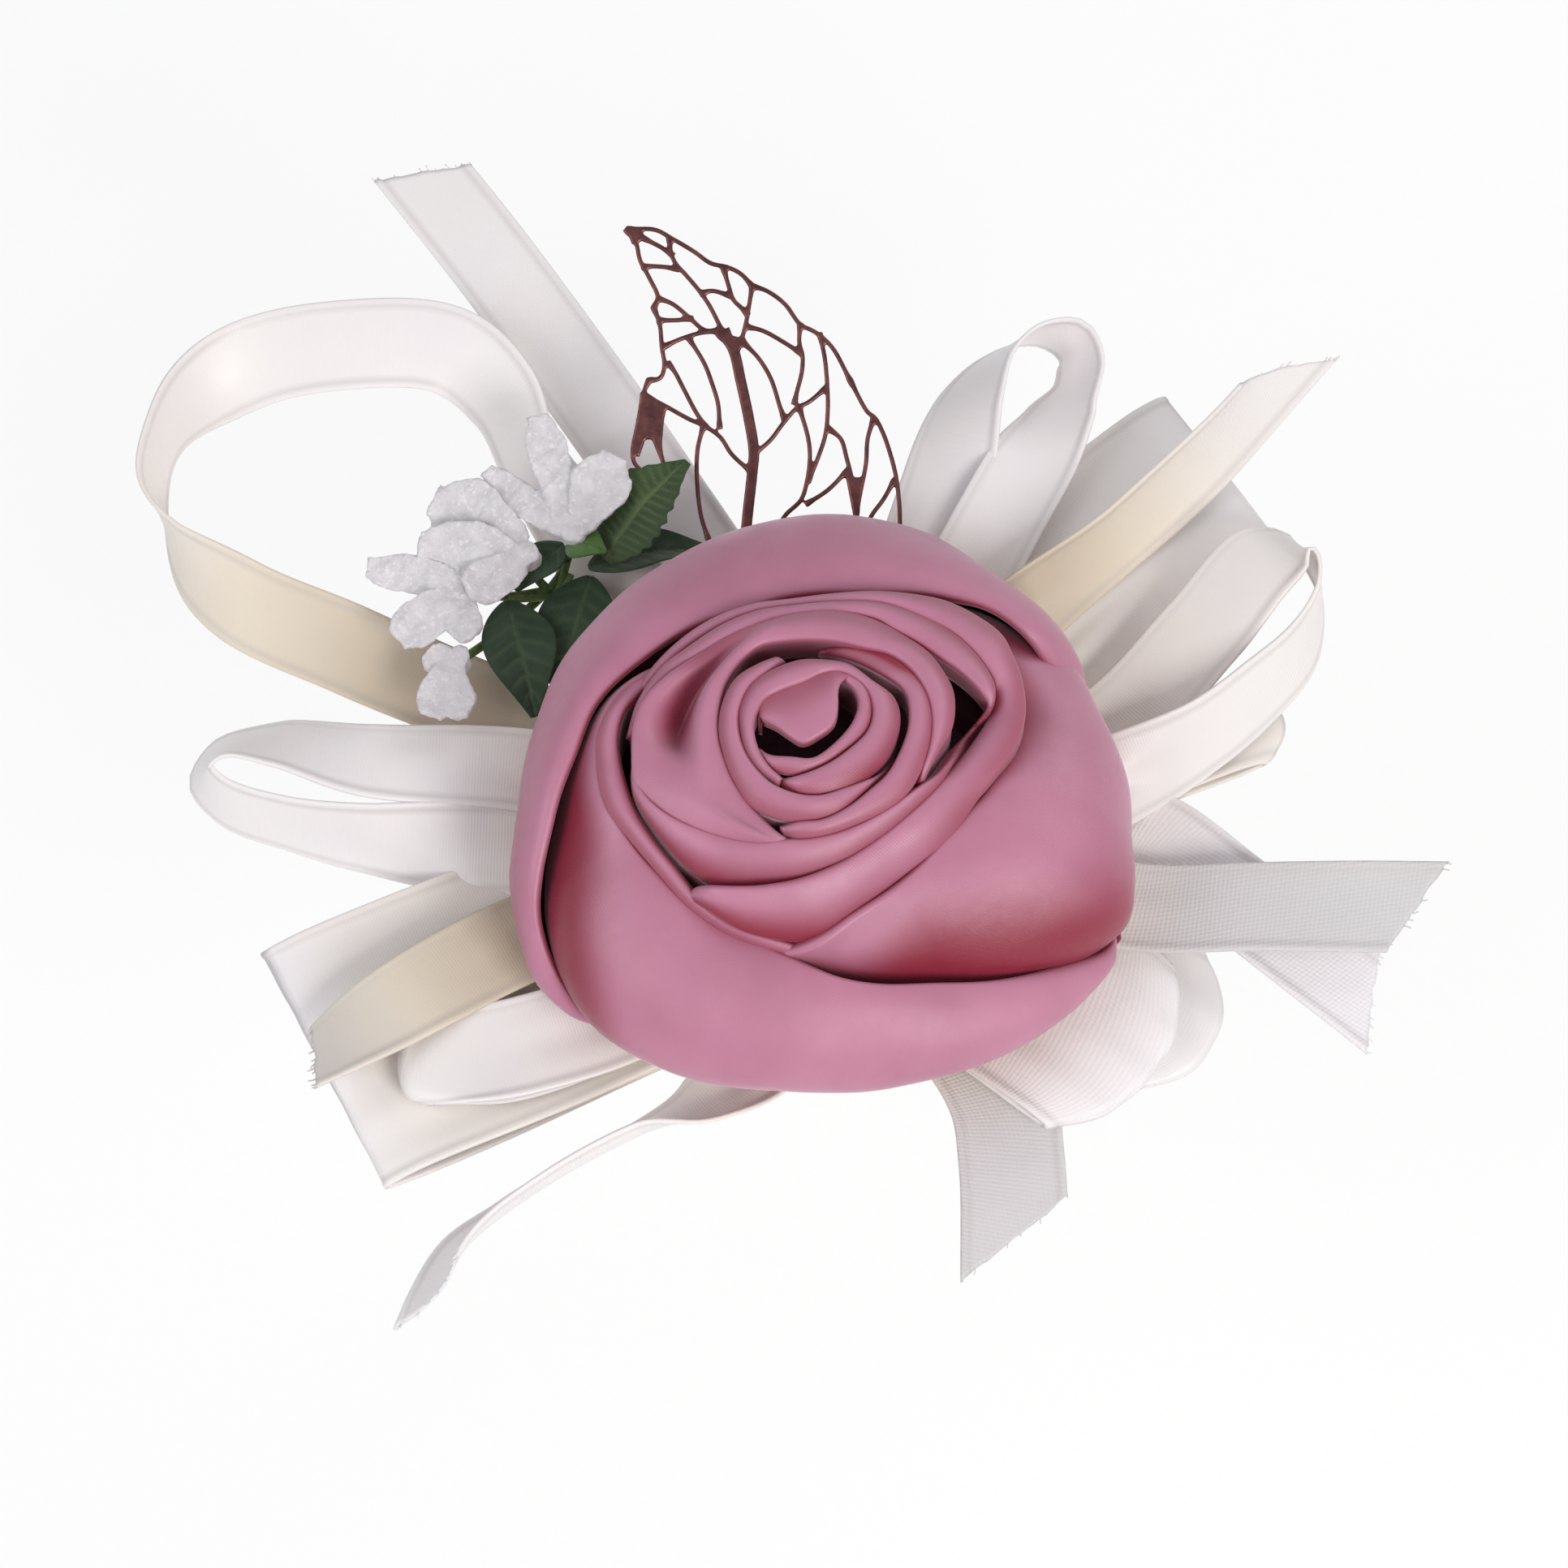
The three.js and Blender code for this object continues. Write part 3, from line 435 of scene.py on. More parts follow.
def blossom_fabric():
    """White fabric with fine glitter: a few bright flakes among many."""
    finish = Finish("blossom_fabric", Sheen_Weight=0.2, Sheen_Roughness=0.6, Specular_IOR_Level=0.35)
    flakes = finish.node("TexVoronoi", {"Vector": finish.place, "Scale": 1 / (0.32 * MM)}).outputs
    glint = finish.spread(finish.split(flakes["Color"])[0], 0.84, 0.96)
    shade = finish.spread(finish.noise(1.6, 5, 0.6), 0.3, 0.7)
    paper = finish.mix((0.74, 0.715, 0.735), (0.58, 0.56, 0.585), shade)
    color = finish.mix(paper, (0.82, 0.805, 0.83), finish.math("MULTIPLY", glint, 0.6))
    grain = finish.bump(flakes["Distance"], 0.06, 0.5)
    crumple = finish.bump(finish.noise(1.1, 5, 0.6), 0.45, 0.8, grain)
    return finish.wear(color, finish.spread(glint, 0, 1, 0.88, 0.6), crumple)


def floral_tape():
    finish = Finish("floral_tape", Specular_IOR_Level=0.3)
    crepe = finish.noise(0.45, 4, 0.7)
    color = finish.mix((0.07, 0.12, 0.03), (0.16, 0.23, 0.08), finish.spread(crepe, 0.3, 0.7))
    rough = finish.spread(crepe, 0.2, 0.8, 0.5, 0.75)
    return finish.wear(color, rough, finish.bump(crepe, 0.12, 0.8))


SATIN = ivory_ribbon("ivory_satin", False, (0.85, 0.81, 0.80), (0.82, 0.785, 0.80))
# A darker copy of the ivory satin, for a tail turned away from the light: painted shade.
SHADED = ivory_ribbon("ivory_satin_painted_shade", False, (0.72, 0.685, 0.685), (0.69, 0.65, 0.66))
# A darker copy of the woven ivory, for tails in shade: painted shade.
SHADED_WOVEN = ivory_ribbon("ivory_woven_painted_shade", True, (0.60, 0.585, 0.59), (0.64, 0.62, 0.63))
TWILL = ivory_ribbon("ivory_twill", True, (0.82, 0.785, 0.805), (0.84, 0.81, 0.83))
ROSE_SATIN = rose_satin()
ELASTIC = elastic()
FELT_CLOTH = felt()
COPPER = copper_plate()
DARK_LEAF = green_fabric("dark_leaf", (0.014, 0.038, 0.016), (0.032, 0.064, 0.028))
LIGHT_LEAF = green_fabric("veined_leaf", (0.024, 0.05, 0.014), (0.05, 0.085, 0.026))
CALYX = green_fabric("calyx", (0.05, 0.12, 0.02), (0.10, 0.22, 0.045))
BLOSSOM = blossom_fabric()
TAPE = floral_tape()


# Ribbons

def ribbon_columns(width):
    """Places across a ribbon from -1 to 1, close together at the selvage."""
    edge = np.array(RIBBON.selvage)
    inside = width / 2 - edge[-1]
    middle = np.linspace(-inside, inside, max(5, int(2 * inside / RIBBON.column)))
    return np.concatenate([edge - width / 2, middle[1:-1], width / 2 - edge[::-1]]) / (width / 2)


def ribbon_rows(stops, across, slant):
    """A ribbon's length, the share along it of each point, and the middle line and directions there."""
    spine, aims = stops[:, :3], direction(stops[:, 3], stops[:, 4])
    long, at = by_length(spine)
    plain = np.linspace(0, 1, int(long / RIBBON.row) + 1)[:, None]
    short_edge = (1 + across) / 2 if slant > 0 else (1 - across) / 2
    along = plain - abs(slant) / long * plain**4 * short_edge
    t = at(along * long)
    step = 1e-4
    forward = unit(spline(spine, np.minimum(t + step, 1)) - spline(spine, np.maximum(t - step, 0)))
    side = spline(aims, t)
    side = unit(side - np.sum(side * forward, -1, keepdims=True) * forward)
    return long, along, spline(spine, t), forward, side


def ribbon_flutter(run, across, phase):
    """Short waves at a ribbon's edges and longer ones over its whole width."""
    edges = np.sin(run / 4.1 + phase + 2.2 * np.sign(across)) * np.abs(across) ** 1.5
    return edges + 0.6 * np.sin(run / 7.3 + 1.7 * phase + 1.4 * across)


# Cut ends: the share of threads that show, how long, bent and wide they are, and how ragged the cut is
FRAY = Sizes(
    share=0.5, long=(0.2, 0.8), aside=0.5, lift=0.35, root=0.3, half=(0.05, 0.08), half_thick=0.05,
    cut=(-0.3, 0.15), jag=0.12,
)


def frayed_threads(tips, forward, side, seed):
    """Loose thread ends at a ribbon's cut edge."""
    draw = np.random.default_rng(seed)
    threads = []
    for tip, way, across in zip(tips, forward, side):
        if draw.random() > FRAY.share:
            continue
        up = np.cross(way, across)
        long = draw.uniform(*FRAY.long)
        bend = draw.uniform(-FRAY.aside, FRAY.aside) * across + draw.uniform(-FRAY.lift, FRAY.lift) * up
        reach = np.linspace(-FRAY.root, long, 5)[:, None]
        path = tip + way * reach + bend * np.clip(reach, 0, None) ** 2
        out = across * draw.uniform(*FRAY.half)
        threads.append(slab(np.stack([path - out, path + out], 1), up * FRAY.half_thick))
    return threads


def ragged_cut(columns, seed):
    """How far a ribbon's threads stand out from its cut, from edge to edge."""
    draw = np.random.default_rng(seed)
    ends = draw.uniform(*FRAY.cut, columns)
    ends[1:-1] = (ends[:-2] + 2 * ends[1:-1] + ends[2:]) / 4
    ends[1:-1] += draw.uniform(-FRAY.jag, FRAY.jag, columns - 2)
    return ends[:, None]


def ribbon(node, stops, width=10, loop=False, slant=0, gather=0.4, cup=0.25, flutter=0.2, pleats=2, pleat=0.3,
           curl=0.0, bulge=0.0, cream_and_shade=None, finish=SATIN, seed=1, nodes=None, body="corsage"):
    """A ribbon through stops [x, y, z, turn] or [x, y, z, turn, rise], gathered at its root.

    Turn and rise aim its width. A list can set how creamy it is from end to end, dye with painted shade,
    darker past 1.
    """
    stops = np.array([(*stop, 0)[:5] for stop in stops], float)
    across = ribbon_columns(width)
    long, along, centre, forward, side = ribbon_rows(stops, across, slant)
    run = along * long
    reach = np.minimum(along, 1 - along) * long if loop else run
    phase = seed * 1.93

    # Near its root the ribbon is narrow and pleated; farther out it is free to cup, flutter and curl
    wide = width * (gather + (1 - gather) * ease(reach / RIBBON.gather_run))
    free = ease((reach - RIBBON.still) / RIBBON.free_run)
    flat_again = ease((reach - RIBBON.pleat_hold) / (1.1 * width + RIBBON.pleat_fade))
    folds = ease(reach / RIBBON.pleat_rise) * (1 - flat_again)
    offset = free * (cup * (across**2 - 0.33) + flutter * ribbon_flutter(run, across, phase))
    offset = offset + pleat * folds * np.cos(math.pi * pleats * across + phase) * (1 - 0.3 * across**2)
    half_turn = curl * free + 1e-6
    chord = np.sin(half_turn * across) / half_turn
    offset = offset + wide / 2 * (1 - np.cos(half_turn * across)) / half_turn
    middle = centre + side * (chord * wide / 2)[..., None] + np.cross(forward, side) * offset[..., None]
    if bulge:
        outward = unit(spline(stops[:, :3], np.array([0.5]))[0] - stops[0, :3]) * (1, 1, 0)
        swell = np.exp(-(((along - 0.5) * long / RIBBON.bulge_run) ** 2))
        swell = bulge * (0.6 - np.abs(across) ** 2.5) * swell
        middle = middle + outward * swell[..., None]
    if not loop:
        ragged = ragged_cut(len(across), seed)
        middle[-1] += forward[-1] * ragged
        middle[-2] += forward[-2] * ragged * 0.5

    from_edge = (1 - np.abs(across)) * width / 2
    past_bead = ease((from_edge - RIBBON.bead_edge) / RIBBON.bead_fade)
    half = RIBBON.half + RIBBON.bead * (1 - past_bead)
    half = half * np.where(from_edge < 0.05, 0.6, 1)
    parts = [slab(middle, normals(middle) * half[:, None])]
    # Cream near the gathered root: part dye, part painted warm shade between the plies.
    cream = 1 - ease((reach - RIBBON.cream) / RIBBON.cream_fade)
    if cream_and_shade:
        cream = np.interp(along, np.linspace(0, 1, len(cream_and_shade)), cream_and_shade)
    grid = np.stack([across * width / 2 + 0 * along, run, cream], -1).reshape(-1, 3)
    cloth = [grid, grid]
    if not loop:
        parts += frayed_threads(middle[-1], forward[-1], side[-1], seed)
        cloth.append(np.tile(grid[-1], (sum(len(p) for p, _ in parts[1:]), 1)))
    obj = make("ribbon_" + node, parts, np.concatenate(cloth))
    # Where the painted shade line beside each bead lies.
    seam = np.exp(-(((from_edge - RIBBON.seam) / RIBBON.seam_width) ** 2)) + 0 * along
    marks = np.zeros(len(obj.data.vertices), np.float32)
    marks[:2 * seam.size] = np.tile(seam.ravel(), 2)
    obj.data.attributes.new("selvage", "FLOAT", "POINT").data.foreach_set("value", marks)
    dress(obj, finish, nodes or [node], body)
    return obj


def doubled(out, back):
    """Stops of a ribbon that goes out to a fold and returns over itself at the heights in back."""
    return out + [[x, y, z, *aim] for (x, y, _, *aim), z in zip(out[-2::-1], back)]


def make_ribbons():
    # Bow of wide ribbon, folded flat at its ends
    ribbon("bow_lower_left", [
        [-7.2, -4.2, LEVELS[0], 119], [-28.2, -14.6, 5.5, 119], [-49, -24.4, 5.2, 119],
        [-52.6, -26.1, 6.2, 119], [-49, -24.4, 7.3, 119], [-28, -15, 7.1, 119],
        [-7.2, -4.2, LEVELS[1], 119],
    ], width=30, loop=True, gather=0.3, cup=0.1, flutter=0.12, pleats=5, pleat=0.45,
        cream_and_shade=(1, 0.9, 0.75, 0.5, 0.35, 0.3, 0, 0.3, 0.35, 0.5, 0.75, 0.9, 1), seed=1)
    ribbon("bow_upper_right", doubled([
        [6.2, 5.6, LEVELS[0], 134], [24, 25.4, 5.3, 130], [42.6, 42, 4.4, 124], [46, 44.6, 6, 123],
    ], (7.6, 7.2, LEVELS[1])), width=25, loop=True, gather=0.3, cup=0.1, flutter=0.12, pleats=5, pleat=0.5,
        cream_and_shade=(1, 0.6, 0.15, 0, 0.15, 0.6, 1), seed=2)
    # Loops of narrow ribbon
    ribbon("loop_upper_left", [
        [-5.4, 7, LEVELS[3], 36], [-23, 31, 9.4, 36, 20], [-32, 44, 10, 30, 50], [-35.6, 52, 12, 60, 45],
        [-41.4, 56.8, 13.4, 90, 30], [-52.5, 57, 14.4, 90, 26], [-64.2, 54.4, 14, 90, 34],
        [-71.6, 48.4, 12.8, 90, 62], [-73.8, 41, 11.4, 160, 80], [-71, 33.6, 10.6, 90, 70],
        [-63.4, 27.2, 9.8, 66, 40], [-51.6, 21.8, 9, 66, 20], [-39.9, 16.7, 8, 66, 4],
        [-24, 10, LEVELS[2], 66], [-8, 3.6, LEVELS[2], 66],
    ], loop=True, cream_and_shade=(1, 0.7, 0.2, 0, 0, 0.1, 0.5, 1.3, 1.9, 1.4, 1), seed=3)
    ribbon("loop_left", [
        [-8.6, 0.8, LEVELS[5], 90], [-30, 6.4, 10.4, 90, -2], [-48.5, 7.2, 12, 92, -14],
        [-58.5, 9.4, 11.6, 104, -36], [-64.8, 9.2, 10.8, 128, -56], [-67, 6.4, 10, 160, -70],
        [-64.4, 3.4, 9.2, 225, -80], [-57.3, 1, 8.8, 258, -77], [-48.2, -0.8, 8.8, 266, -64],
        [-36, -2, 9.1, 270, -24], [-22, -2, LEVELS[4], 271], [-8.6, -1, LEVELS[4], 272],
    ], loop=True, cup=0.1, flutter=0.1, seed=4)
    ribbon("loop_lower_left", [
        [-6.2, -6.2, LEVELS[2], 135], [-19.6, -19.2, 8.7, 126], [-32, -24.9, 8.7, 108],
        [-39, -25.8, 8.5, 98], [-42.3, -26.3, 9.8, 96], [-39, -26.8, 11.2, 98], [-31, -25.2, 11, 108],
        [-18.4, -19.6, 9.7, 126], [-6.2, -6.2, LEVELS[3], 135],
    ], loop=True, width=11, flutter=0.1, bulge=4, seed=5)
    ribbon("loop_upper_right", [
        [2.6, 8.2, LEVELS[2], -18], [9.4, 28, 8.3, -18], [14, 42, 8.8, -20, 4], [17, 52.6, 10.4, -24, 40],
        [20.4, 57.6, 11.4, -45, 62], [24.6, 59.6, 12, -60, 72], [28.4, 58.4, 12, -15, 72],
        [29.2, 54.8, 11.4, 8, 60], [27.2, 50.6, 10.8, 8, 34], [23.6, 44, 10.8, 4, 4], [18.8, 35, 10.2, -10],
        [5, 7, LEVELS[3], -35],
    ], loop=True, flutter=0.08, cup=0.12, seed=6)
    ribbon("loop_right", [
        [7.9, 3.2, LEVELS[5], -66], [30, 10.8, 10.2, -54], [41.4, 21.9, 13, -44, 6],
        [48.6, 30, 15, -46, 16], [52.6, 31.4, 14.6, -62, 44], [54.6, 27.4, 13.4, -110, 70],
        [52.8, 20.8, 12.2, 170, 70], [47, 14.6, 12, 142, 62], [41, 9.8, 11.8, 130, 56],
        [34, 6, 11.4, 118, 38], [27, 3.4, LEVELS[6], 104, 6], [8.4, 1, LEVELS[6], 95],
    ], loop=True, flutter=0.08, cup=0.12, cream_and_shade=(1, 0.8, 0.35, 0.2, 0.2, 0.1, 0.15, 0.6, 1), seed=7)
    ribbon("loop_right_low", doubled([
        [15.4, 0.4, LEVELS[0], 96], [33.2, 8.6, 5.2, 112], [44.6, 13.4, 4.7, 113], [48.2, 14.9, 5.6, 113],
    ], (6.5, 6.4, LEVELS[1])), loop=True, flutter=0.1, cup=0.1, bulge=4,
        cream_and_shade=(1, 0.9, 0.6, 0.4, 0.6, 0.9, 1), seed=8)
    ribbon("loop_lower_right", doubled([
        [5.6, -6, LEVELS[2], 54], [20, -16, 7.3, 54], [29.2, -22.9, 7, 56], [32.4, -25.4, 7.9, 57],
    ], (8.8, 8.4, LEVELS[3])), loop=True, width=23, gather=0.2, cup=0.1, flutter=0.1, pleats=4, bulge=5.5,
        finish=TWILL, seed=9)
    ribbon("loop_lower_right_back", doubled([
        [7.6, -3.6, LEVELS[0], 62], [25, -13, 5.2, 62], [36, -19.4, 3.6, 62], [38.8, -20.9, 4.4, 62],
    ], (5.4, 5.9, LEVELS[1])), loop=True, width=18, gather=0.25, cup=0.1, flutter=0.1, pleats=3,
        bulge=6, seed=10)
    # Tails with cut ends
    ribbon("tail_upper_left", [
        [-3.4, 8, LEVELS[2], 20], [-8.4, 25, 7.8, 20], [-19, 43.2, 8.6, 32, 4], [-35.9, 68.7, 9.8, 36, 8],
        [-47.2, 84.4, 10.2, 36, 8],
    ], slant=5.6, cup=0.1, flutter=0.06, seed=11)
    tail = ribbon("tail_upper_right", [
        [5.2, 6.7, LEVELS[6], 142], [21.8, 25.2, 11, 134, 46], [32.8, 34.4, 12.2, 133, 62],
        [40, 41.2, 13.2, 133, 64], [47.8, 49.6, 13.8, 134, 64], [55.6, 59.4, 14.2, 136, 62],
    ], slant=13.5, curl=0.4, cream_and_shade=(1, 1.2, 1.7, 1.5, 0.9, 0.4, 0.1, 0), seed=12,
        nodes=["tail_upper_right_root", "tail_upper_right"], body=None)
    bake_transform(tail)
    tail = ribbon("tail_right", [
        [8.3, -1.8, LEVELS[5], 80], [32, -9, 10, 90], [46.4, -9.4, 10.8, 90, 4], [66.8, -9.7, 11.4, 90, 6],
    ], slant=-7, finish=SHADED_WOVEN, seed=13, nodes=["tail_right_root", "tail_right"], body=None)
    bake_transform(tail)
    ribbon("tail_right_low", [
        [8.5, -0.8, LEVELS[4], 86], [25, 1.6, 8.9, 80], [34.8, 0.6, 8.1, 60], [44.4, -6.9, 7.7, 46],
        [60.8, -21, 7, 46],
    ], slant=6, finish=TWILL, seed=14)
    ribbon("tail_thin", [
        [-2.2, -8.4, LEVELS[2], 10], [-5.6, -24, 7.2, 0], [-12.1, -30.6, 6.8, 320, 40],
        [-18.9, -33.3, 6.4, 276, 70], [-26.6, -37.4, 6, 278, 72], [-33.4, -42, 5.4, 280, 70],
        [-37.6, -45.8, 5, 320, 64], [-39.8, -50, 4.8, 342, 60], [-41.4, -54.4, 4.6, 348, 58],
    ], slant=8, curl=0.5, cup=0, flutter=0.1, seed=15)
    ribbon("tail_bottom", [
        [1, -8.6, LEVELS[0], 0], [13, -19.6, 5.4, 14], [18.8, -28.6, 5.4, 4], [20, -36.4, 5, 0],
        [20, -49.2, 4.4, 0],
    ], slant=9.6, width=11.2, finish=SHADED_WOVEN, seed=16)
    ribbon("tail_lower_left", [
        [-7.6, -3.8, LEVELS[5], 118], [-31, -12.8, 10.8, 114], [-45.3, -21.8, 12.6, 114, -10],
        [-54.4, -28.2, 11.8, 104, -38],
    ], slant=3.5, cup=0.1, flutter=0.1, cream_and_shade=(1, 1.5, 2, 1.5, 0.8, 0.3), finish=SHADED, seed=17)


# Rose

PETAL = Sizes(
    rows=22, fold_rows=8, leg_rows=6, crowd=1.3, swell=0.22, full_height=14, full_room=6, ripple=0.25,
    ripple_size=5, shade_run=0.3,
)
WRAP = Sizes(
    step=0.4, rows=14, fold_rows=6, leg_rows=5, fold_turn=100, most_bulge=0.7, hollow_start=0.22,
    hollow_run=0.25, hollow_floor=0.47,
)
# Ridge, painted shade and where that painted shade starts, for a petal's stop that doesn't give them
PLAIN_PETAL = (0, 0, 0.25)
# Dip and painted shade of a wrap's stop that doesn't give them
PLAIN_WRAP = (0, 0.55)


def petal(node, stops, foot, steps, fold, leg, fold_turn, seed):
    """A petal whose rim is a soft fold.

    Its stops are [angle, radius, height, belly, dome], then the values in PLAIN_PETAL.
    """
    stops = np.array([(*s, *PLAIN_PETAL[len(s) - 5:]) for s in stops], float)
    share = np.linspace(0, 1, steps + 1)
    turn, radius, height = spline(stops[:, :3], share).T
    belly, dome, ridge, shade, start = spline(stops[:, 3:], share).T
    tall = height - ROSE.foot
    wall = 1 - dome
    swell = PETAL.swell * dome * np.minimum(1, tall / PETAL.full_height)
    shoulder = radius + (0.2 + 0.6 * dome) * (belly - radius)
    shoulder_height = height + 0.4 * dome - 0.3 * tall * wall + ridge
    waist_height = ROSE.foot + 0.07 * tall + 0.25 * tall * wall
    corners = np.stack([
        np.stack([radius, height], -1),
        np.stack([shoulder, shoulder_height], -1),
        np.stack([belly * (1 + swell), waist_height], -1),
        np.stack([np.full_like(radius, foot), np.full_like(radius, ROSE.foot)], -1),
    ], 1)[:, None]
    fall = np.linspace(0, 1, PETAL.rows)
    t = (fall ** PETAL.crowd)[None, :, None]
    face = ((1 - t) ** 3 * corners[:, :, 0] + 3 * (1 - t) ** 2 * t * corners[:, :, 1]
            + 3 * (1 - t) * t**2 * corners[:, :, 2] + t**3 * corners[:, :, 3])
    way = unit(corners[:, :, 1] - corners[:, :, 0])
    inward = np.stack([way[..., 1], -way[..., 0]], -1)

    # The fold turns over the rim and runs a little way down inside, where there is room
    bend = np.radians(np.linspace(fold_turn, 0, PETAL.fold_rows + 1))[None, :-1, None]
    arc = face[:, :1] + inward * fold * (1 - np.cos(bend)) - way * fold * np.sin(bend)
    room = 0.05 + 0.95 * ease((belly - radius) / PETAL.full_room)
    down = (np.linspace(1, 0, PETAL.leg_rows + 1) ** PETAL.crowd)[None, :-1, None]
    last = math.radians(fold_turn)
    onward = -way * math.cos(last) + inward * math.sin(last)
    profile = np.concatenate([arc[:, :1] + onward * (down * leg * room[:, None, None]), arc, face], 1)

    angle = np.radians(turn)[:, None]
    round_about = np.stack([np.cos(angle), np.sin(angle), 0 * angle], -1)
    middle = round_about * profile[..., :1] + np.array([0, 0, 1]) * profile[..., 1:]
    bulge = PETAL.ripple * wobble(middle, PETAL.ripple_size, seed)
    bulge = bulge * np.sin(math.pi * np.linspace(0, 1, middle.shape[1]))
    middle = middle + round_about * bulge[..., None]
    # Painted shade: the face darkens from its shade start down, or by the rim where the shade is negative,
    # and the fold and leg are painted dark red.
    low = ease((fall - start[:, None]) / PETAL.shade_run) * np.maximum(shade, 0)[:, None]
    low = low + ease((PETAL.shade_run - fall) / PETAL.shade_run) * np.maximum(-shade, 0)[:, None]
    fold_shade = np.concatenate([np.linspace(1, 0.3, PETAL.leg_rows), np.linspace(0.3, 0, PETAL.fold_rows)])
    satin("satin_" + node, [(middle, np.concatenate([fold_shade + 0 * shade[:, None], low], 1))], [node])


def wrap(stops, drop_in=2.6, drop_out=4.0, bulge=0.12, edge=0.42):
    """A fold of the rose's middle.

    Its stops hold a point of its inner edge, one of its outer edge, then the values in PLAIN_WRAP.
    """
    stops = np.array([(*s, *PLAIN_WRAP[len(s) - 6:]) for s in stops], float)
    long, _ = by_length(stops[:, 3:6])
    path = spline(stops, np.linspace(0, 1, int(long / WRAP.step)))
    inner, outer, dip, shade = path[:, None, :3], path[:, None, 3:6], path[:, 6:7], path[:, 7:]
    s = np.linspace(0, 1, WRAP.rows)[None]
    wide = np.linalg.norm(outer - inner, axis=-1)
    inset = (outer - inner) * np.minimum(0.8 * edge / np.maximum(wide, 0.1), 0.3)[..., None]
    inner, outer = inner + inset, outer - inset
    hollow = ease((s - WRAP.hollow_start) / WRAP.hollow_run)
    hollow = hollow * (1 - ease((s - WRAP.hollow_floor) / (1 - WRAP.hollow_floor)))
    lift = np.minimum(bulge * wide, WRAP.most_bulge) * 4 * s * (1 - s) - dip * hollow
    up = np.array([0, 0, 1.0])
    face = inner + (outer - inner) * s[..., None] + up * lift[..., None]
    bend = np.radians(np.linspace(0, WRAP.fold_turn, WRAP.fold_rows + 1))[None, 1:, None]
    legs = np.linspace(0, 1, WRAP.leg_rows + 1)[None, 1:, None]

    def turned_down(rim, beside, drop):
        way = unit(rim - beside)
        normal = unit(up - np.sum(up * way, -1, keepdims=True) * way)
        arc = rim + way * edge * np.sin(bend) - normal * edge * (1 - np.cos(bend))
        return np.concatenate([arc, arc[:, -1:] - up * drop * legs], 1)

    inside = turned_down(face[:, :1], face[:, 1:2], drop_in)[:, ::-1]
    outside = turned_down(face[:, -1:], face[:, -2:-1], drop_out)
    # Painted shade: the face darkens towards its outer edge, all over where the shade passes 1 and in the
    # hollow of a dip; the turned-down edges are painted dark red.
    low = ease((s - 0.25) / 0.75) * shade + np.maximum(shade - 1, 0) + 0.12 * hollow * np.maximum(dip, 0)
    curl = np.concatenate([np.linspace(1, 0.7, WRAP.leg_rows), np.linspace(0.6, 0, WRAP.fold_rows)])
    painted_shade = np.concatenate([curl + 0 * dip, low, np.maximum(curl[::-1], low[:, -1:])], 1)
    return np.concatenate([inside, face, outside], 1), np.minimum(painted_shade, 1)


def satin(name, sheets, nodes=()):
    """One piece of rose satin from sheets, each a point grid and the painted shade of its columns."""
    parts, cloth, area, length, widths = [], [], 0, 0, []
    for middle, painted_shade in sheets:
        normal = normals(middle)
        parts.append(slab(middle, normal * math.copysign(ROSE.half, normal[..., 2].mean())))
        run_down = np.cumsum(np.linalg.norm(np.diff(middle, axis=1, prepend=middle[:, :1]), axis=-1), 1)
        run_round = np.cumsum(np.linalg.norm(np.diff(middle, axis=0, prepend=middle[:1]), axis=-1), 0)
        # The underside of each sheet gets at least 0.8 of the painted dark red: painted shade under the
        # sheets.
        for inside in (painted_shade, np.maximum(painted_shade, 0.8)):
            cloth.append(np.stack([run_down, run_round, inside], -1).reshape(-1, 3))
        cells = np.cross(np.diff(middle, axis=0)[:, 1:], np.diff(middle, axis=1)[1:])
        area += np.linalg.norm(cells, axis=-1).sum()
        length += run_round[-1].max()
        widths.append(run_down[:, -1].mean())
    obj = make(name, parts, np.concatenate(cloth))
    dress(obj, ROSE_SATIN, nodes)


# Outer petals: back and left, front, right; the ends of each go in under the next
PETAL_BACK = [
    [237, 27, 13.2, 28, 1], [229, 32, 15.2, 33, 1], [222, 34, 17.2, 35.6, 1], [215, 34.4, 19.4, 36.2, 1],
    [208, 33.4, 22, 35, 1, 0, 0.4], [201, 31.4, 25, 33.6, 1, 0, 0.5], [192, 28.8, 27.6, 32, 1, 0, 0.5],
    [181, 26.2, 29.4, 30.8, 1, 0, 0.4], [168, 24.4, 30.6, 30.2, 1, 0, 0.15], [150, 21.5, 31.2, 30.8, 1],
    [133, 19.4, 31.4, 31, 1], [116, 18.1, 31.4, 31.6, 1], [89, 17.9, 31.4, 32.6, 1],
    [73, 18.9, 31.4, 32.2, 1], [54, 21.8, 31.2, 30.4, 1], [42, 24.6, 30.4, 29.8, 1],
    [31, 26.2, 28.4, 30.2, 1], [22, 27.4, 23.4, 29.6, 1], [14, 27, 18.6, 27.6, 1], [6, 25, 14.6, 25.8, 1],
]
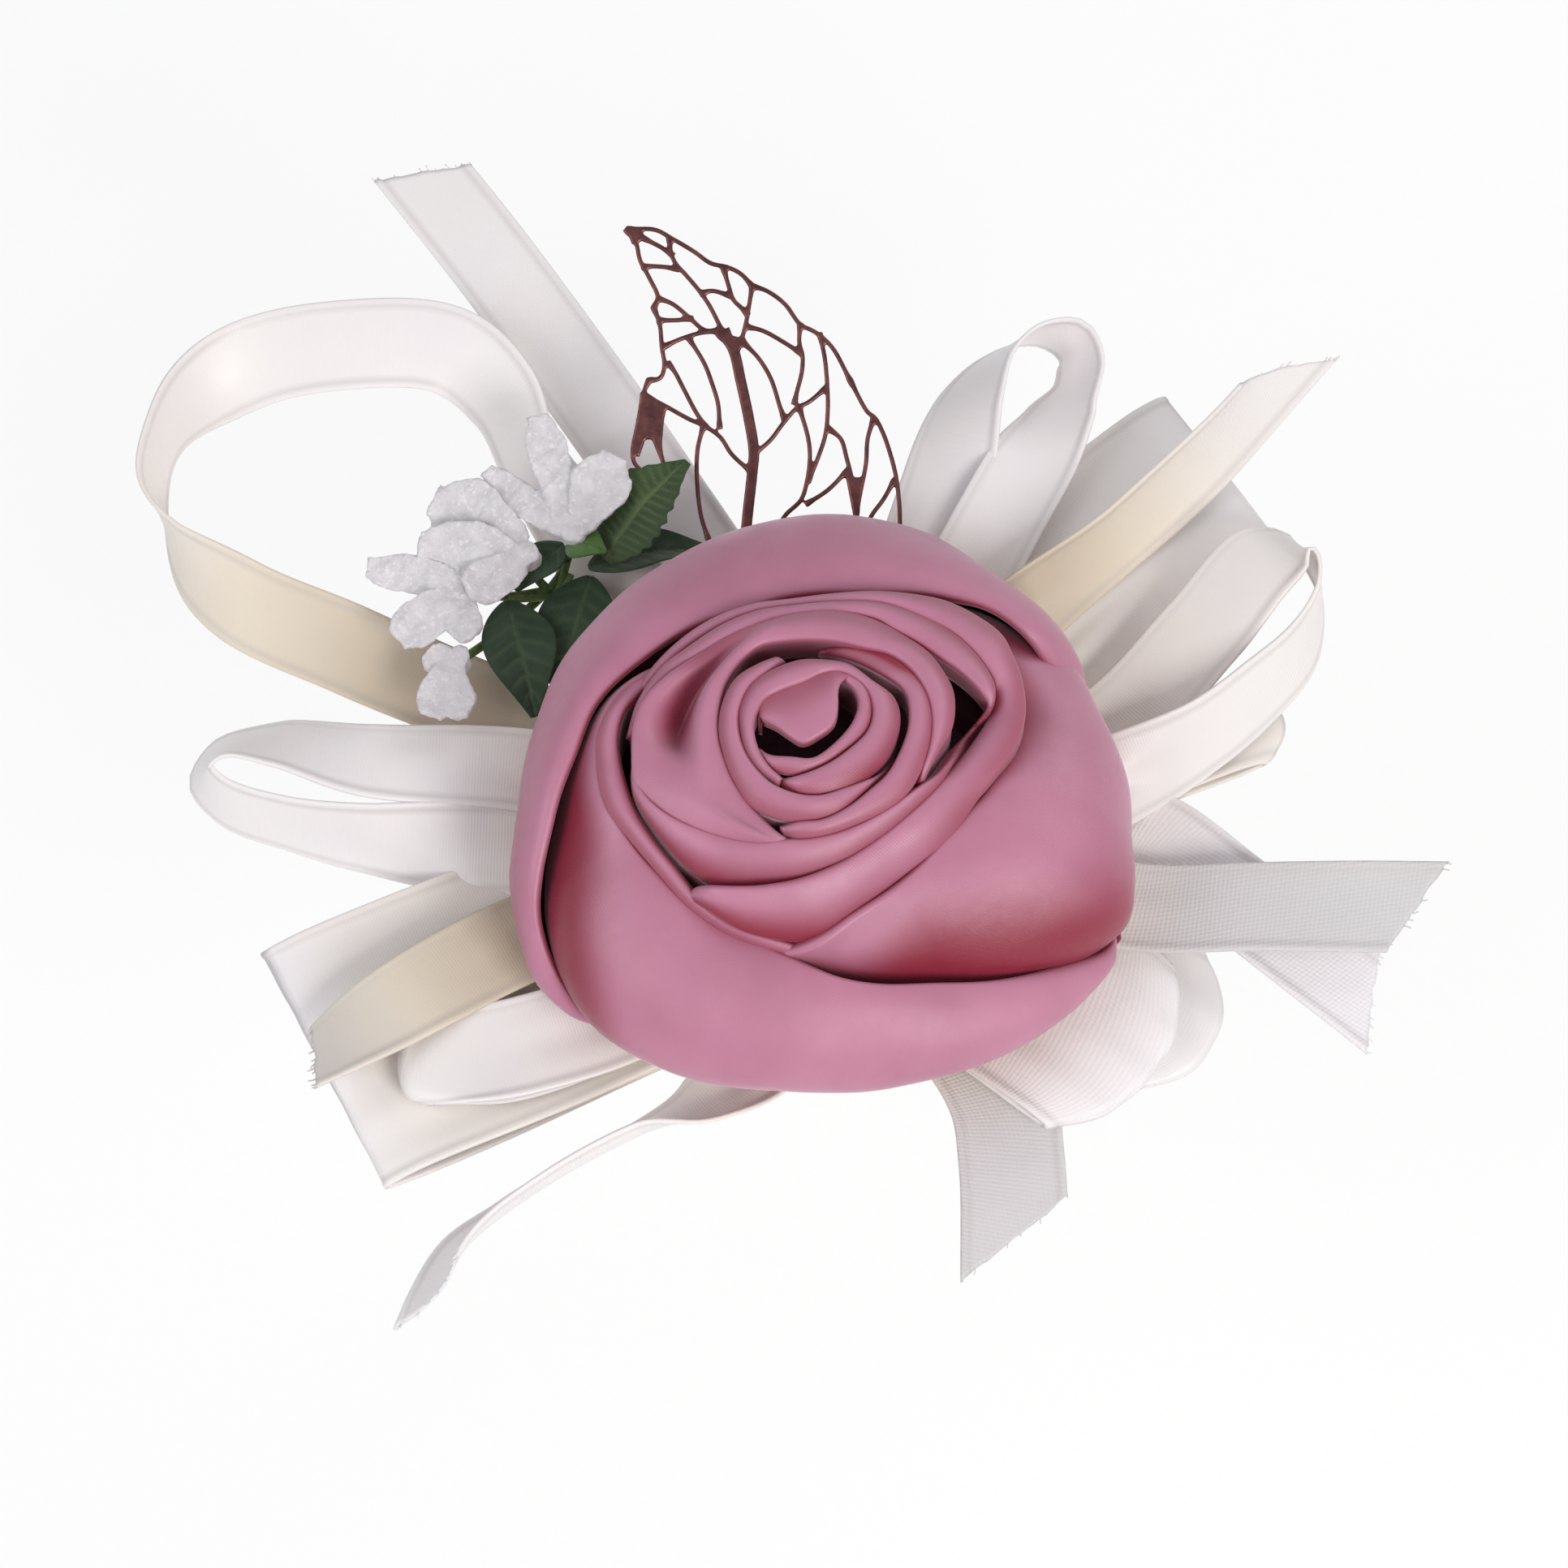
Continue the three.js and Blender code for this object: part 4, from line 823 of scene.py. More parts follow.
PETAL_FRONT = [
    [146, 18.6, 29.4, 27, 0.1, 0, 1, 0.04], [158, 20.8, 30.8, 28, 0.15, 0, 1, 0.04],
    [171, 22.8, 31, 29, 0.2, 0, 1, 0.04], [184, 23.4, 30.6, 30.6, 0.25, 0, 1, 0.02],
    [196, 23, 30, 33.4, 0.4, 0, 1, 0.01], [206, 22.3, 29.5, 35.4, 0.6, 0, 1, 0.09],
    [216, 21.6, 29, 36.2, 0.85, 0, 1, 0.19], [226, 21.2, 28.6, 37, 0.95, 0, 0.9, 0.31],
    [242, 21, 27.9, 36.2, 1, 0, 0.1, 0.55], [262, 22.5, 27.4, 34, 1], [274, 24, 26.6, 33.4, 1],
    [284, 25.3, 26, 33.6, 1], [297, 27.1, 25, 34.4, 1], [311, 30, 23, 35.4, 1], [322, 32.4, 20.4, 35.8, 1],
    [329, 34.2, 18.6, 35.8, 1], [334, 33.8, 17, 33.6, 1], [338, 30.2, 15, 30.4, 1],
    [342, 26.4, 13.4, 26.6, 1],
]
PETAL_RIGHT = [
    [66, 17, 25.6, 28.2, 0.4, 2.4, -1], [52, 19.8, 27, 28.6, 0.5, 3.2, -1], [40, 20.6, 27, 30, 0.6, 3.6, -1],
    [28, 20.9, 27, 32.2, 0.8, 3.6, -1], [16, 20.7, 27.6, 32.6, 0.9, 2.6, -0.9],
    [4, 20, 29.4, 33.2, 1, 1.2, -0.5], [-10, 18.6, 31, 35, 1, 0.3],
    [-18, 17.6, 31.1, 37, 1, 0.1, 0.35, 0.28], [-26, 16.8, 31.2, 38.6, 0.95, 0, 0.85, 0.26],
    [-34, 16.6, 31.2, 36.8, 0.9, 0, 1, 0.22], [-43, 16.7, 31.2, 33.8, 0.8, 0, 1, 0.17],
    [-62, 17.4, 30.9, 28.6, 0.6, 0, 1, 0.12], [-80, 19.2, 30.2, 25.8, 0.3, 0, 1],
    [-91, 21, 29, 25, 0.1, 0, 1], [-102, 22, 26.6, 24, 0, 0, 1],
]
# Rolled lip inside the front petal
TUCKED_LIP = [
    [-16.1, 8.5, 30.6, -17.5, 9.2, 30.2], [-18.6, 5.8, 32.2, -20.1, 6.7, 31.6],
    [-20.5, 3.4, 32.4, -22.4, 3.5, 31.6], [-21.1, 0.7, 32.2, -23.3, 0.9, 31.4],
    [-20.8, -1.9, 32, -23.2, -2, 31.2], [-20.2, -4.4, 31.8, -23, -3.8, 30.9],
    [-19.1, -7.4, 31.4, -22.1, -6.6, 30.5], [-17.5, -10, 31, -19.9, -9.6, 30.2],
    [-15.1, -13, 30.4, -16.9, -13.3, 29.6], [-12.7, -15.8, 29.8, -13.8, -16.7, 29],
    [-9.5, -18.4, 29.2, -10, -19.4, 28.4], [-6.1, -19.6, 28.6, -5.8, -21, 27.6],
    [-2.6, -20.4, 27.6, -2.2, -21.8, 26.8], [-0.6, -20.8, 25.8, -0.4, -22, 25],
]
# Wraps round the bud, from the outside in
WRAP_MIDDLE = [
    [-13.6, -15.4, 29.4, -13.8, -15.8, 28.6, 0, 1], [-11.7, -16.5, 32.8, -11.4, -18, 30.4, 0, 1],
    [-8.7, -16.9, 33.6, -7.9, -19.8, 29.4, 0, 1], [-5.6, -16.8, 33.8, -3.2, -20.4, 28.4, 0, 1],
    [-2, -16.1, 33.9, 0.4, -20.4, 28.2, 0, 1], [2.3, -14.2, 34, 4.3, -18, 28.8, 0, 0.7],
    [6.2, -11.4, 34.1, 8.6, -14.6, 29.6, 0, 0.3], [9.4, -8.4, 34.2, 12.6, -11, 30.8],
    [12.1, -5.2, 33.8, 15.5, -6.8, 31.9], [14.3, -2, 33, 17.9, -3.6, 32.8],
    [16.3, 1.3, 32.4, 19.8, -0.5, 33.2], [17.4, 3.5, 32.2, 20.7, 2.9, 33.4], [17.8, 5, 33, 20.5, 6.8, 33.4],
    [17.6, 6.1, 33.8, 19.5, 9.9, 33.3], [16.8, 7.8, 34.2, 18.5, 12, 33.2], [15.3, 9.9, 34.3, 16, 14.1, 33.2],
    [13.3, 11.8, 34.3, 12.9, 15.8, 33.1], [10.6, 13.3, 34.2, 9.7, 16.6, 33],
    [6.5, 15.1, 34.1, 5.7, 17, 32.9], [1.5, 15.3, 34, 1.6, 16.8, 32.8], [-3.2, 14.9, 33.9, -3.4, 16.1, 32.8],
    [-6.9, 14.4, 33.7, -7.4, 15.6, 32.6], [-10.8, 12.8, 33.4, -11.6, 14, 32.3],
    [-14.4, 10.3, 33, -15.3, 11.3, 32], [-17.3, 7.3, 32.5, -18.2, 8, 31.5],
    [-19.3, 4.4, 31.6, -20, 4.7, 30.8],
]
WRAP_BETWEEN = [
    [-19.3, -2.2, 32.4, -19.5, -4.1, 31.6, 0, 1], [-19, -5.3, 34.1, -19, -6.7, 32.6, 0, 1],
    [-17.7, -7.6, 34.6, -16.8, -10, 32, 0, 1], [-15, -9.7, 34.7, -13.6, -13.6, 31.4, 0, 1],
    [-11.1, -11.3, 34.8, -10.3, -15.8, 31.4, 0, 0.9], [-7.3, -12.2, 35, -6, -16, 31.8, 0, 0.6],
    [-3.4, -12.2, 35.3, -2, -15.5, 32.6], [0.4, -11.5, 35.4, 2.3, -13.8, 33.2],
    [3.5, -10.4, 35.4, 6.2, -11.1, 33.6], [6.7, -8.5, 35.4, 9.4, -8.2, 33.8],
    [8.9, -6.9, 35.2, 12, -5.2, 33.6], [10.7, -4.9, 33.6, 13.5, -2.7, 32.6],
    [12.7, -1.3, 31.4, 15.3, 0.9, 31], [15, 1.4, 31.4, 16.8, 2.8, 31.4], [17.1, 3.3, 34, 17.7, 4.6, 33.8],
    [16.4, 4.6, 35, 17.7, 5.7, 34.2], [14.4, 6.7, 35.2, 16.8, 7.8, 34.2], [12.4, 8.2, 35.2, 15.3, 9.9, 34.2],
    [9.9, 10.1, 35.2, 13.3, 11.8, 34.1], [7.3, 11.7, 35.1, 10.8, 13.4, 34], [5.5, 13, 35, 6.5, 15.2, 33.8],
    [1.5, 13.7, 35, 1.5, 15.4, 33.7], [-2.6, 13.4, 35, -3.2, 14.9, 33.7],
    [-5.6, 12.6, 34.9, -6.7, 14.4, 33.6], [-9, 11.3, 34.8, -10.4, 12.8, 33.5],
    [-12.5, 9, 34.4, -14.1, 10.2, 33.3], [-15.6, 7, 34, -16.8, 8, 32.9],
    [-18.3, 3.9, 33.4, -19.1, 4.4, 32.4], [-19.6, 0.8, 31.8, -20.2, 1, 31],
]
WRAP_INNER = [
    [9.5, -6, 34.2, 9.9, -6, 33.8], [10, -4.6, 35.8, 10.7, -4.7, 35.2], [11.1, -1.7, 36.6, 11.9, -2.5, 35.6],
    [11.3, 1, 36.8, 13.3, 0.3, 35.6], [10.7, 3.8, 36.8, 13.5, 3.8, 35.6], [9.2, 6.4, 36.7, 12.6, 6.2, 35.5],
    [7, 8.2, 36.5, 11, 8.7, 35.3], [4.1, 9, 36.4, 8.6, 10.7, 35.1], [1.3, 9.7, 36.4, 5.3, 12.8, 34.9],
    [-1.6, 9.9, 36.4, 1.5, 13.8, 34.8], [-4.2, 9.8, 36.3, -2.6, 13.5, 34.8],
    [-6.4, 9.4, 36.2, -5.6, 12.7, 34.7], [-8.1, 8, 36.1, -9, 11.4, 34.6, 0.8],
    [-9.6, 5.6, 36.2, -12.9, 8.8, 34.5, 2.4], [-10.3, 3.5, 36.3, -16, 6.4, 34.5, 4, 0],
    [-10.6, 0.9, 36.3, -18.2, 3.8, 34.4, 5, 0], [-10.5, -1.6, 36.3, -19.2, 1.1, 34.3, 3.8, 0],
    [-10, -3.5, 36.3, -19.4, -2, 34.2, 1.4, 0], [-9.2, -5.8, 36.2, -19.2, -4.9, 34, 0.2, 0],
    [-7.9, -7.9, 36, -18, -7.4, 33.9, -0.4, 0], [-6.5, -9.7, 35.8, -15, -9.9, 33.9, -0.6, 0],
    [-5.1, -11.1, 35.6, -11.1, -11.6, 34, -0.5, 0], [-3.8, -11.9, 35.2, -7.3, -12.4, 34.2, -0.2, 0],
    [-2.6, -12.1, 34.4, -3.8, -12.4, 34],
]
# Bud: four turns and the corner of cloth folded over its middle
BUD_OUTER = [
    [-4.5, -10.6, 35.2, -3.8, -11.5, 35], [-2.6, -10.6, 36.3, -2.3, -12.1, 35.7],
    [-0.1, -10.5, 36.6, 0.4, -11.8, 35.8], [2.4, -9.3, 36.7, 3.5, -10.6, 35.8],
    [4.8, -7.3, 36.7, 6.7, -8.8, 35.8], [6.7, -5.4, 36.8, 8.7, -7.1, 35.9], [8.1, -2.7, 36.9, 10, -4.7, 36],
    [8.9, 0.2, 36.9, 11.2, -1.1, 36.1], [8.8, 2.7, 36.8, 11.3, 1.6, 36.2], [8.1, 4.3, 36.5, 10.6, 4.2, 36.2],
    [6.3, 5.9, 36, 9, 6.8, 36, 0, 1.3], [4, 7.5, 35.4, 6.8, 8.6, 35.8, 0, 1.5],
    [1.6, 8.6, 34.8, 4.1, 9.4, 35.6, 0, 1.6], [-0.6, 9.2, 34, 1, 9.2, 35, 0, 1.7],
]
BUD_SECOND = [
    [-3.8, 7.4, 36, -5.1, 8, 35.6], [-5.3, 6, 37, -6.7, 7, 36.2], [-7.5, 4, 37.4, -8.9, 5.3, 36.5],
    [-8.6, 1.3, 37.5, -10.2, 2.6, 36.6], [-8.6, -1.1, 37.5, -10.6, -0.3, 36.6],
    [-7.9, -3.5, 37.5, -10.1, -3.3, 36.6], [-6.5, -5.6, 37.4, -9.2, -5.8, 36.5],
    [-4.8, -7.1, 37.3, -7.5, -8.6, 36.3], [-2.4, -8, 37.2, -5.1, -10, 36.1],
    [-0.1, -8.1, 37.2, -2, -10.5, 36.1], [2.3, -7.2, 37, 1.2, -9.8, 36.1],
    [4.3, -6.2, 36.6, 3.7, -7.8, 36, 0, 0.8], [5.9, -4.9, 35.6, 5.6, -5.8, 35.4, 0, 1.5],
    [7.4, -2.4, 34, 7.4, -3.1, 33.6, 0, 2],
]
BUD_THIRD = [
    [-4.2, -5.9, 36.6, -4.2, -6.7, 36.2], [-2.6, -6.1, 37.5, -2, -7.8, 36.8],
    [-0.1, -5.2, 37.7, 0.7, -7.7, 36.8], [2.4, -3.6, 37.8, 4.3, -6, 36.4, 0, 0.9],
    [4.6, -1.4, 37.8, 6.7, -3.5, 36.2, 0, 0.7], [5.3, 0.9, 37.8, 7.9, 0.1, 36.4],
    [4.9, 3.1, 37.8, 7.4, 2.9, 36.5], [3.8, 4.6, 37.8, 5.2, 4.7, 36.8], [2, 5.6, 37.8, 2.8, 6.6, 37],
    [0, 5.4, 37.8, 0.4, 7.1, 37.1], [-1.9, 4.4, 37.9, -2.3, 7.1, 37.1], [-4.2, 3.5, 37.9, -5.3, 5.9, 37.1],
    [-5.9, 2.5, 37.9, -7.5, 4.2, 37], [-6.9, 0.8, 37.9, -8.6, 1.6, 37], [-7.2, -0.9, 37.9, -8.5, -0.9, 37],
    [-6.7, -3.1, 37.8, -7.9, -3.3, 37], [-5.7, -4.8, 37.7, -6.5, -5.4, 37],
    [-4.2, -6.3, 37.5, -4.5, -7, 36.8],
]
BUD_INNER = [
    [-6.4, -2.6, 36.6, -6.8, -3.4, 36.4], [-5.3, -3.7, 37.4, -5.3, -5.1, 36.9],
    [-3.2, -4, 37.6, -2.9, -5.8, 37], [-1, -4.1, 37.6, -0.1, -4.9, 37], [1.2, -2.5, 37.6, 2.4, -3.2, 37],
    [3.1, -0.1, 37.6, 4.6, -1, 37], [3.7, 2, 37.6, 5.2, 1.2, 37], [3.2, 3.7, 37.6, 4.9, 3.5, 37],
    [2, 4.8, 37.4, 3.8, 5, 36.9], [0.9, 5.3, 37, 2, 6.2, 36.6],
]
BUD_CORNER = [
    [1.1, 3.9, 37.6, 3.1, 5.3, 37.2], [1.4, 2.1, 37.9, 1.2, 5.8, 37.4], [1, -0.4, 38, -0.7, 5.2, 37.4],
    [-0.5, -1.7, 37.9, -2.6, 4.4, 37.4], [-2, -2.4, 37.7, -4.2, 3.8, 37.4],
    [-3.4, -1.6, 37.7, -5.6, 2.9, 37.4], [-4.6, -0.6, 37.5, -6.4, 1.8, 37.3],
    [-5.9, 0.2, 37.2, -6.5, 0.7, 37],
]


def make_rose():
    petal("rose_petal_back", PETAL_BACK, 23.4, 190, fold=0.5, leg=3, fold_turn=115, seed=1)
    petal("rose_petal_front", PETAL_FRONT, 21, 190, fold=0.45, leg=2, fold_turn=120, seed=2)
    petal("rose_petal_right", PETAL_RIGHT, 18.4, 180, fold=0.45, leg=3, fold_turn=110, seed=3)
    satin("satin_rose_petal_tucked", [wrap(TUCKED_LIP, drop_in=9, drop_out=2)], ["rose_petal_tucked"])
    satin("satin_rose_wrap_middle", [wrap(WRAP_MIDDLE, drop_in=2, drop_out=6)], ["rose_wrap_middle"])
    satin("satin_wrap_between", [wrap(WRAP_BETWEEN, drop_in=3, drop_out=6)])
    satin("satin_rose_wrap_inner", [wrap(WRAP_INNER, drop_in=4, drop_out=7)], ["rose_wrap_inner"])
    satin("satin_rose_bud", [
        wrap(BUD_OUTER, drop_in=4), wrap(BUD_SECOND), wrap(BUD_THIRD, drop_out=5), wrap(BUD_INNER, drop_in=6),
        wrap(BUD_CORNER, drop_in=0.6, bulge=0.05, edge=0.3),
    ], ["rose_bud"])
    low, high, radius = ROSE.base_low, ROSE.base_high, ROSE.base_radius
    inset, round_off = ROSE.base_edge
    points, faces = turned([
        (0, low), (4, low), (12, low), (radius - inset, low), (radius, low + round_off),
        (radius, high - round_off), (radius - inset, high), (12, high), (0, high),
    ])
    obj = make("satin_rose_base", [(points, faces)], np.column_stack([points[:, :2], 0 * points[:, 0]]))
    dress(obj, ROSE_SATIN, ["rose_base"])


# Pierced metal leaf, drawn in units from its foot in a plane that rises to the back

VEINS = [
    # outline, left from the tip down
    [[-153, 356], [-141, 340], [-136, 319], [-124, 296], [-114, 273], [-119, 260]],
    [[-119, 260], [-112, 241], [-109, 211], [-106, 189], [-111, 174], [-125, 171]],
    [[-125, 171], [-131, 157], [-139, 116], [-145, 84], [-143, 70], [-126, 52], [-110, 36]],
    # outline, right from the tip down
    [[-150, 357], [-117, 356], [-96, 345], [-69, 329], [-49, 315], [-28, 310], [-12, 302], [2, 287]],
    [[2, 287], [20, 281], [42, 265], [61, 240], [80, 230], [100, 212], [123, 170]],
    [[123, 170], [144, 132], [153, 125], [163, 106], [172, 80], [179, 52], [183, 17], [184, -20]],
    # midrib
    [[-8, -60], [-5, -9], [2, 57], [4, 83], [-2, 123], [-12, 170], [-21, 208], [-34, 230]],
    [[-34, 230], [-50, 262], [-63, 281], [-79, 300], [-93, 316], [-98, 329], [-100, 345]],
    # between midrib and left outline
    [[-132, 346], [-109, 334], [-96, 325]],
    [[-133, 311], [-112, 311], [-90, 308]],
    [[-114, 272], [-96, 265], [-76, 249], [-57, 233], [-39, 232]],
    [[-114, 245], [-92, 245], [-72, 247]],
    [[-105, 213], [-88, 221], [-63, 229], [-39, 232]],
    [[-76, 223], [-57, 192], [-47, 166], [-40, 142], [-38, 113]],
    [[-101, 192], [-93, 181], [-82, 160], [-66, 130], [-54, 113]],
    [[-127, 151], [-104, 139], [-75, 123], [-59, 116], [-38, 102], [-23, 80], [0, 59]],
    [[-58, 115], [-65, 87], [-66, 52], [-61, 5], [-52, -24]],
    [[-108, 135], [-111, 87], [-106, 64], [-102, 40]],
    # between midrib and right outline
    [[-61, 278], [-47, 281], [-25, 275]],
    [[-33, 308], [-26, 284], [-21, 270], [-10, 259], [-4, 252]],
    [[2, 287], [-2, 262], [-6, 240], [-12, 221], [-22, 212]],
    [[-5, 237], [15, 232], [39, 219], [61, 205]],
    [[61, 240], [60, 217], [64, 201], [63, 181], [57, 157], [54, 143]],
    [[-8, 217], [10, 198], [25, 173], [36, 139], [41, 125]],
    [[4, 80], [24, 97], [40, 118], [57, 137], [71, 144], [92, 161]],
    [[85, 228], [91, 200], [94, 170], [95, 135], [92, 104], [83, 76], [71, 47]],
    [[60, 138], [71, 99], [73, 76], [69, 45], [62, 24], [42, 4], [30, -20]],
    [[97, 111], [111, 99], [118, 76], [125, 47], [129, 8], [130, -20]],
    [[118, 59], [95, 36], [69, 19]],
    [[151, 123], [144, 99], [142, 69], [135, 33], [130, 6]],
    [[176, 47], [163, 24], [149, 5], [140, -16]],
]
# The lower midrib, wider than the other veins
MIDRIB = 6
# Corners of the solid patches between veins
WEBS = [
    [[-154, 360], [-133, 360], [-131, 343], [-146, 338]],
    [[-136, 156], [-108, 139], [-111, 98], [-141, 98]],
    [[-141, 99], [-129, 99], [-137, 76], [-145, 80]],
    [[-122, 99], [-111, 99], [-107, 70], [-111, 72]],
    [[-30, 228], [-5, 222], [-14, 205], [-22, 198]],
    [[117, 52], [136, 52], [132, 5], [126, 5]],
]


def metal_strip(line, width):
    """A vein: a flat strip along a smooth line, a little wider where it meets its neighbours."""
    run, centre, way = walk(np.asarray(line, float) * METAL.unit, METAL.row, least=8)
    centre[0] -= way[0] * METAL.overlap
    centre[-1] += way[-1] * METAL.overlap
    from_end = np.minimum(run, run[-1] - run)
    flare = 1 + METAL.flare * np.exp(-((from_end / METAL.flare_run) ** 2))
    out = np.stack([-way[:, 1], way[:, 0]], -1) * (width / 2 * flare)[:, None]
    return plate(np.stack([centre - out, centre + out], 1))


def plate(grid):
    """A flat plate on a grid of drawing points."""
    level = np.zeros((*grid.shape[:2], 1))
    return closed(np.concatenate([grid, level + METAL.thick], -1), np.concatenate([grid, level], -1))


def make_metal_leaf():
    widths = [METAL.midrib if i == MIDRIB else METAL.vein for i in range(len(VEINS))]
    parts = [metal_strip(line, width) for line, width in zip(VEINS, widths)]
    for a, b, c, d in WEBS:
        parts.append(plate(np.array([[a, b], [d, c]], float) * METAL.unit))
    obj = make("pierced_leaf", parts)
    fuse(obj, METAL.voxel, rounds=4)
    u, v, w = mesh_points(obj).T
    rise = math.radians(METAL.rise)
    back, up = v * math.cos(rise) - w * math.sin(rise), v * math.sin(rise) + w * math.cos(rise)
    set_points(obj, np.stack([u, back, up], -1) + METAL.at)
    dress(obj, COPPER, ["filigree_leaf"], "metal_leaf")
    stem = [[-8.2, 28.6, 12], [-7.6, 25, 10.9], [-4, 12, 10.8], [-2.6, 8, 10.8]]
    dress(make("leaf_stem", [tube(stem, METAL.stem)]), COPPER, ["filigree_stem"])


# Green leaves

LEAF = Sizes(
    face=(0, 0.4, 1), half=0.17, rows=64, columns=29, tooth_count=9, vein=0.16, vein_depth=0.13, midrib=0.07,
    midrib_depth=0.2, crumple=0.22, crumple_size=2.5,
)


def green_leaf(name, foot, tip, width, nodes=(), curl=1.2, fold=0.9, teeth=0.0, ribs=7, shown=0.25,
               finish=DARK_LEAF, body="corsage", seed=1):
    """A leaf blade from foot to tip, folded along its midrib, with side veins pressed into it."""
    foot, tip, side, up = blade_axes(foot, tip, LEAF.face)
    t = np.linspace(0, 1, LEAF.rows)[:, None]
    s = np.linspace(-1, 1, LEAF.columns)[None]
    arch = np.sin(math.pi * t)
    outline = 0.1 + 0.9 * np.sin(math.pi * t**0.8) * (1 - 0.25 * t**3)
    notch = 1 + teeth * (np.abs((t * LEAF.tooth_count) % 1 - 0.5) * 2 - 0.5) * arch
    half = outline * notch * width / 2
    phase = (t * ribs - 1.1 * np.abs(s)) % 1 - 0.5
    vein = np.exp(-((phase / LEAF.vein) ** 2)) * arch**0.5 * (1 - np.abs(s) ** 4)
    midrib = np.exp(-((s / LEAF.midrib) ** 2)) + 0 * t
    lift = fold * arch * np.abs(s) ** 1.2 + curl * arch
    lift = lift - LEAF.vein_depth * vein - LEAF.midrib_depth * midrib
    points = foot + (tip - foot) * t[..., None] + side * (half * s)[..., None]
    lift = lift + LEAF.crumple * wobble(points, LEAF.crumple_size, seed)
    points = points + up * lift[..., None]
    half_thick = LEAF.half * (1 - 0.5 * np.abs(s) ** 6) + 0 * t
    marks = shown * np.maximum(0.6 * vein, midrib)
    grid = np.stack([half * s, np.linalg.norm(tip - foot) * t + 0 * s, marks], -1).reshape(-1, 3)
    obj = make(name, [slab(points, up * half_thick[..., None])], np.concatenate([grid, grid]))
    dress(obj, finish, nodes, body)


def make_green_leaves():
    green_leaf("leaf_top", [-23.6, 30.6, 13.4], [-14.4, 39.8, 18.8], 10.4, ["green_leaf_top"], teeth=0.16,
               ribs=15, shown=0.7, finish=LIGHT_LEAF, seed=1)
    green_leaf("leaf_right", [-25.4, 30, 12.6], [-12, 32.8, 12], 6.6, ["green_leaf_right"], curl=0.8, seed=2)
    green_leaf("leaf_left", [-34.2, 26, 12.6], [-31, 12.9, 10.6], 8.2, ["green_leaf_left"], curl=0.8, seed=3)
    green_leaf("leaf_low", [-25.2, 29.2, 12.2], [-28.6, 15.4, 10.2], 9, ["green_leaf_low"], curl=0.4,
               fold=0.4, seed=4)
    green_leaf("leaf_small", [-28, 32.4, 13.6], [-33.2, 26.8, 13.4], 5, curl=0.5, fold=0.5, ribs=4, seed=5)
    green_leaf("calyx_leaf", [-27.7, 31.5, 15], [-23.3, 30.3, 15.6], 5.8, curl=0.9, fold=0.2, ribs=3,
               shown=0.1, finish=CALYX, body="sprig", seed=6)


# Blossoms

# Petals of each blossom: foot, tip and width
BLOSSOMS = {
    "blossom_upper": [
        [[-27.1, 32.4, 15.8], [-31, 45.2, 19.6], 4.6], [[-26.6, 32.4, 15.8], [-22.4, 40.4, 19.4], 6.4],
        [[-27.8, 32.2, 15.6], [-36.6, 39.6, 17.4], 3.6], [[-26.2, 33, 16], [-24.6, 37, 17.4], 4.4],
    ],
    "blossom_middle": [
        [[-32, 31.8, 15], [-42.4, 36.2, 16.8], 8], [[-31.6, 29.6, 15], [-43.8, 30.4, 16.6], 7.2],
        [[-32, 29.2, 15], [-38.4, 25.4, 16.2], 5.4],
    ],
    "blossom_left": [
        [[-38, 27, 14.6], [-49.4, 28.4, 15.8], 4.4], [[-39.2, 26, 14.4], [-45.8, 20, 15.4], 5.6],
        [[-38.8, 26.4, 14.4], [-38.4, 19.8, 15.2], 3.8],
    ],
    "blossom_lower": [
        [[-39.2, 18.4, 13.6], [-42, 11.2, 14.6], 5], [[-39.6, 18, 13.6], [-38.8, 10.8, 14.4], 3.8],
        [[-39, 18.8, 13.6], [-42.8, 17.4, 14.4], 3.6],
    ],
}
BLOOM = Sizes(
    face=(0, -0.3, 1), half=0.5, rows=22, columns=15, heart=1.4, heart_rise=(-1.2, 0, 0.9), voxel=0.24,
    lump=0.16, lump_size=1.0, grain=0.06, grain_size=0.4,
)
# Radii of the taped stems, how far below a blossom's heart they end and how much they rise half way
TAPED = Sizes(stalk=0.6, leaf=0.4, blossom=0.5, below=0.8, rise=0.6)


def heart_of(petals):
    return np.mean([foot for foot, _, _ in petals], axis=0)


def blossom_petal(foot, tip, width, seed):
    """One puffed, cupped petal with a crinkled rim."""
    foot, tip, side, up = blade_axes(foot, tip, BLOOM.face)
    t = np.linspace(0, 1, BLOOM.rows)[:, None]
    s = np.linspace(-1, 1, BLOOM.columns)[None]
    outline = 0.2 + 0.8 * np.sin(math.pi * np.clip(t, 0, 0.96) ** 1.5) ** 0.55
    half = outline * width / 2 * (1 + 0.06 * np.sin(9 * t + 2 * seed))
    cup = 0.1 * width * s**2 * np.sin(math.pi * t) + 0.05 * width * np.sin(2 * math.pi * t)
    crinkle = 0.22 * np.sin(7 * t + 3.1 * s + seed) * t * np.abs(s)
    middle = foot + (tip - foot) * t[..., None] + side * (half * s)[..., None]
    puff = (1 + 0.25 * np.sin(4 * t + seed)) * np.sqrt(1 - 0.6 * s**2) * (1 - 0.3 * t**6)
    return slab(middle + up * (cup + crinkle)[..., None], up * (BLOOM.half * puff)[..., None])


